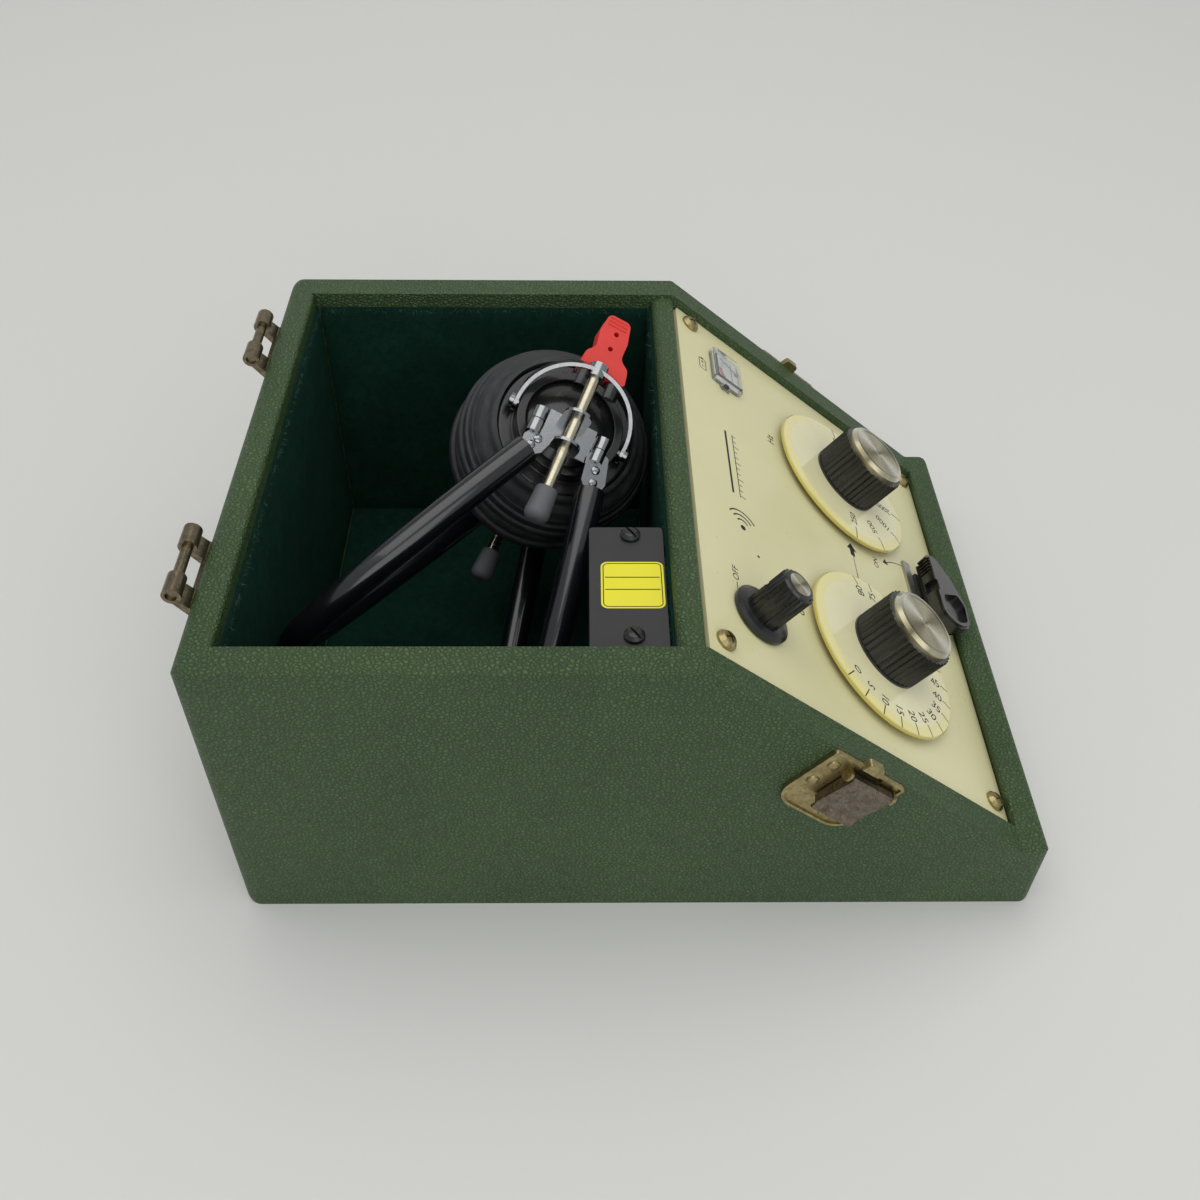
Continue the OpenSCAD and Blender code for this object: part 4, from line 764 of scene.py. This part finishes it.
rnd = random.Random(11)
bm = bmesh.new()
for name, axis, inner, count in (("felt_left", 0, 1, 420), ("felt_right", 0, -1, 160), ("felt_back", 1, -1, 200),
                                 ("felt_front", 1, 1, 160)):
    lo, hi = [Vector(v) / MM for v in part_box(name)]
    u = 1 - axis
    for k in range(count):
        p = Vector((0, 0, hi[2] - rnd.uniform(0.1, 1.6)))
        p[u] = rnd.uniform(lo[u] + 2, hi[u] - 2)
        p[axis] = (hi[axis] - 0.5) if inner > 0 else (lo[axis] + 0.5)
        d = Vector((0, 0, rnd.uniform(-0.5, 0.7)))
        d[u] = rnd.uniform(-1.2, 1.2)
        d[axis] = inner * rnd.uniform(0.15, 0.9)
        side = Vector((rnd.uniform(-1, 1), rnd.uniform(-1, 1), rnd.uniform(-1, 1))).normalized() * 0.06
        step = rnd.uniform(0.35, 0.8)
        rows = []
        for t in range(4):
            w = side * (1 - t / 4.5)
            rows.append((bm.verts.new((p - w) * MM), bm.verts.new((p + w) * MM)))
            p = p + d.normalized() * step
            p.z = min(p.z, hi[2] + 0.8)
            d = d + Vector((rnd.uniform(-0.6, 0.6), rnd.uniform(-0.6, 0.6), rnd.uniform(-0.6, 0.3)))
            d[axis] = inner * abs(d[axis])
        for a, b in zip(rows, rows[1:]):
            bm.faces.new((a[0], a[1], b[1], b[0]))
o = new_obj("felt_lint", bm, M["felt_lint"], "case")

# ---- dial figures ----
for x, body, marks, r_txt, size in (
    (-DIAL_X, "decibel_control", [(15 - 15 * i, str(80 - 5 * i), 15 - 15 * i) for i in range(17)], 24.6, 4.6),
    (DIAL_X, "frequency_control", [(180 + 30 * i, t, 30 * i) for i, t in enumerate(
        ("250", "500", "1000", "2000", "4000", "6000", "8000"))], 21.4, 4.3),
):
    D = PANEL @ Matrix.Translation(Vector((x, -DIAL_V, DIAL_TOP)) * MM)
    ticks = []
    for ang, txt, rot in marks:
        a = math.radians(ang)
        r_in, r_out = (25.9, 28.0) if x > 0 else (27.2, 28.1)
        ticks.append(bar(math.cos(a) * r_in, math.sin(a) * r_in, math.cos(a) * r_out, math.sin(a) * r_out, 0.35))
        o = label_text("dial_figure_%s_%s" % ("l" if x < 0 else "r", txt), txt, D,
                       math.cos(a) * r_txt, math.sin(a) * r_txt, size if len(txt) < 4 else size * 0.95, rot, body,
                       lift=0.01, space=0.95)
    o = strokes("dial_ticks_%s" % ("l" if x < 0 else "r"), ticks, D, 0.01, M["ink"], body)
    # ticks on the sloping rim
    bm = bmesh.new()
    for ang, txt, rot in marks:
        a = math.radians(ang)
        c, s = math.cos(a), math.sin(a)
        w = 0.19
        quad = []
        for rr, zz in ((28.15, 0.03), (31.35, -0.42)):
            for sg in (-1, 1):
                quad.append(Vector((c * rr - s * w * sg, s * rr + c * w * sg, zz)) * MM)
        top = [bm.verts.new(D @ quad[i]) for i in (0, 1, 3, 2)]
        low = [bm.verts.new(D @ (quad[i] - Vector((0, 0, 0.03)) * MM)) for i in (0, 1, 3, 2)]
        bm.faces.new(top)
        bm.faces.new(list(reversed(low)))
        for i in range(4):
            j = (i + 1) % 4
            bm.faces.new((top[j], top[i], low[i], low[j]))
    bmesh.ops.recalc_face_normals(bm, faces=bm.faces)
    o = new_obj("dial_rim_ticks_%s" % ("l" if x < 0 else "r"), bm, M["ink"], body)

# ---- panel printing: plain lines, arrows and generic signs ----
prints = []
prints.append([(5.2, -80.9), (8.3, -80.9), (8.3, -79.5), (11.8, -82), (8.3, -84.5), (8.3, -83.1), (5.2, -83.1)])
prints.append([(-8.6, -82), (-6.2, -80.8), (-6.2, -83.2)])
prints.append(bar(-6.2, -82, -3.6, -82, 0.4))
prints.append(bar(-3.6, -82, 5.3, -82, 0.25))
# leader lines from the output knob to its three signs
for ends in ((-54.9, -20.4, -51.9, -18.5), (-52.0, -18.5, -49.2, -18.5), (-50.6, -25, -49.2, -25),
             (-54.9, -30.2, -51.9, -31.6), (-52.0, -31.6, -49.2, -31.6)):
    prints.append(bar(*ends, 0.3))
arc = []
for i in range(13):
    a = math.radians(8 + 32 * i / 12)
    arc.append((-2.2 + 22.6 * math.cos(a), -116.6 + 22.6 * math.sin(a)))
for p, q in zip(arc, arc[1:]):
    prints.append(bar(p[0], p[1], q[0], q[1], 0.35))
hx, hy = arc[-1]
prints.append([(hx - 1.2, hy + 2.2), (hx + 1.6, hy + 0.5), (hx - 0.9, hy - 0.9)])
# battery sign
for *ends, w in ((58.4, -13.6, 64.6, -13.6, 0.3), (58.4, -16.6, 64.6, -16.6, 0.3), (58.4, -13.6, 58.4, -16.6, 0.3),
                 (64.6, -13.6, 64.6, -16.6, 0.3), (65.1, -14.5, 65.1, -15.7, 0.6), (59.8, -15.1, 61.2, -15.1, 0.3),
                 (62.2, -15.1, 63.6, -15.1, 0.3), (62.9, -14.4, 62.9, -15.8, 0.3)):
    prints.append(bar(*ends, w))
# plain dot
prints.append([(-30.4 + 0.55 * math.cos(k * 0.5236), -30.2 + 0.55 * math.sin(k * 0.5236)) for k in range(12)])
# nested arcs and two plain rules in the middle
for r in (2.6, 4.6, 6.6):
    pts = [(-19.5 + r * math.cos(math.radians(a)), -24.8 + r * math.sin(math.radians(a))) for a in range(-58, 59, 8)]
    for p, q in zip(pts, pts[1:]):
        prints.append(bar(p[0], p[1], q[0], q[1], 0.55))
prints.append([(-20.6 + 1.1 * math.cos(k * 0.5236), -24.8 + 1.1 * math.sin(k * 0.5236)) for k in range(12)])
prints.append(bar(-5, -22.4, 28, -22.4, 0.9))
prints.append(bar(-5, -25.6, 28, -25.6, 0.35))
for i in range(12):
    prints.append(bar(-4.4 + i * 2.9, -25.6, -4.4 + i * 2.9, -27.2 - (0.9 if i % 3 == 0 else 0), 0.28))
strokes("panel_print", prints, PANEL, 0.004, M["ink"], "case")
for nm, txt, x, v, size in (("sign_off", "OFF", -45.4, 18.5, 3.5), ("sign_one", "1", -47.4, 25.0, 3.5),
                            ("sign_two", "2", -47.4, 31.6, 3.5), ("sign_db", "dB", -43.2, 46.8, 4.6),
                            ("sign_hz", "Hz", 43.2, 46.8, 4.6), ("sign_on", "ON", 10.7, 95.4, 3.4)):
    label_text(nm, txt, PANEL, x, -v, size, 0, "case", lift=0.012)

# ---- yellow label on the battery cover ----
def rounded_rect(x0, y0, x1, y1, r, n=6):
    out = []
    for cx, cy, a0 in ((x1 - r, y1 - r, 0), (x0 + r, y1 - r, 90), (x0 + r, y0 + r, 180), (x1 - r, y0 + r, 270)):
        for i in range(n + 1):
            a = math.radians(a0 + 90 * i / n)
            out.append((cx + r * math.cos(a), cy + r * math.sin(a)))
    return out


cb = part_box("battery_cover")
LZ = Matrix.Translation(Vector((0, 0, cb[1][2])))
lx0, lx1, ly0, ly1 = -68.3, -49.2, -4.9, 13.3
o = strokes("box_label", [rounded_rect(lx0, ly0, lx1, ly1, 2.0)], LZ, 0.02, M["yellow"], "case")
lines = [bar(lx0 + x, ly0 + 1.2, lx0 + x, ly1 - 1.2, 0.35) for x in (7.6, 12.6)]
rr = rounded_rect(lx0 + 0.7, ly0 + 0.7, lx1 - 0.7, ly1 - 0.7, 1.5)
for p, q in zip(rr, rr[1:] + rr[:1]):
    lines.append(bar(p[0], p[1], q[0], q[1], 0.28))
o = strokes("box_label_lines", lines, LZ, 0.055, M["ink"], "case")

# ---- meter scale inside its clear box ----
K = PANEL @ Matrix.Translation(Vector((64.9, -25.9, 0.8)) * MM)
strokes("meter_card", [rounded_rect(-8.2, -5.5, 8.2, 5.5, 0.5)], K, 0.01, M["white"], "case")
seg = []
for i in range(10):
    a0, a1 = math.radians(150 - i * 6), math.radians(150 - (i + 1) * 6)
    seg.append([(r * math.cos(a), -4 + r * math.sin(a)) for r, a in ((6.2, a0), (7.8, a0), (7.8, a1), (6.2, a1))])
strokes("meter_red_arc", seg, K, 0.05, M["red_ink"], "case")
strokes("meter_marks", [bar(-6.5, -2.6, 6.5, -2.6, 0.3)] + [
    bar(6.0 * math.cos(a), -4 + 6.0 * math.sin(a), 7.2 * math.cos(a), -4 + 7.2 * math.sin(a), 0.25)
    for a in (0.5, 0.8, 1.1, 1.4)], K, 0.05, M["ink"], "case")

for k, sg in enumerate((-1, 1)):
    at = PANEL @ Matrix.Translation(Vector((64.9 + sg * 10.5, -24.9, 1.15)) * MM)
    head = lathe([(1.25, 0), (1.25, 0.3), (1.05, 0.65), (0.6, 0.85), (0.2, 0.9)], at, 32)
    o = new_obj("meter_screw_%d" % k, head, M["black"], "case", 40)

# ---- light, floor ----
world = bpy.data.worlds.new("studio")
scene.world = world
world.use_nodes = True
world.node_tree.nodes["Background"].inputs[0].default_value = (0.93, 0.96, 1.0, 1)
world.node_tree.nodes["Background"].inputs[1].default_value = 0.55


def area(name, loc, target, size, power, col=(1, 1, 1)):
    d = bpy.data.lights.new(name, "AREA")
    d.shape = "RECTANGLE"
    d.size = size[0]
    d.size_y = size[1]
    d.energy = power
    d.color = col
    o = bpy.data.objects.new(name, d)
    scene.collection.objects.link(o)
    o.location = loc
    o.rotation_euler = (Vector(target) - Vector(loc)).to_track_quat("-Z", "Y").to_euler()
    return o


area("key", (0.15, 0.10, 1.7), (0, 0, 0), (1.7, 1.7), 13, (1.0, 0.985, 0.955))
area("fill", (-1.4, -0.4, 0.9), (0, 0, 0.05), (1.4, 1.4), 8, (1.0, 0.99, 0.96))

# a pale floor that curves up behind the object, metres
SWEEP_X, SWEEP_R, SWEEP_TOP, SWEEP_REACH = 0.9, 0.5, 2.4, 8.0
bm = bmesh.new()
rows = []
curve = [math.radians(9 * i) for i in range(1, 11)]
prof = [(-SWEEP_REACH, 0), (SWEEP_X, 0)] \
    + [(SWEEP_X + SWEEP_R * math.sin(a), SWEEP_R - SWEEP_R * math.cos(a)) for a in curve] + [(1.4, SWEEP_TOP)]
for x, z in prof:
    rows.append([bm.verts.new((x, y, z)) for y in (-SWEEP_REACH, SWEEP_REACH)])
for a, b in zip(rows, rows[1:]):
    bm.faces.new((a[0], a[1], b[1], b[0]))
me = bpy.data.meshes.new("floor")
bm.to_mesh(me)
bm.free()
for p in me.polygons:
    p.use_smooth = True
floor = bpy.data.objects.new("floor", me)
scene.collection.objects.link(floor)
fl = Mat("paper_floor", lin(214, 213, 210), 0.75)
me.materials.append(fl.m)
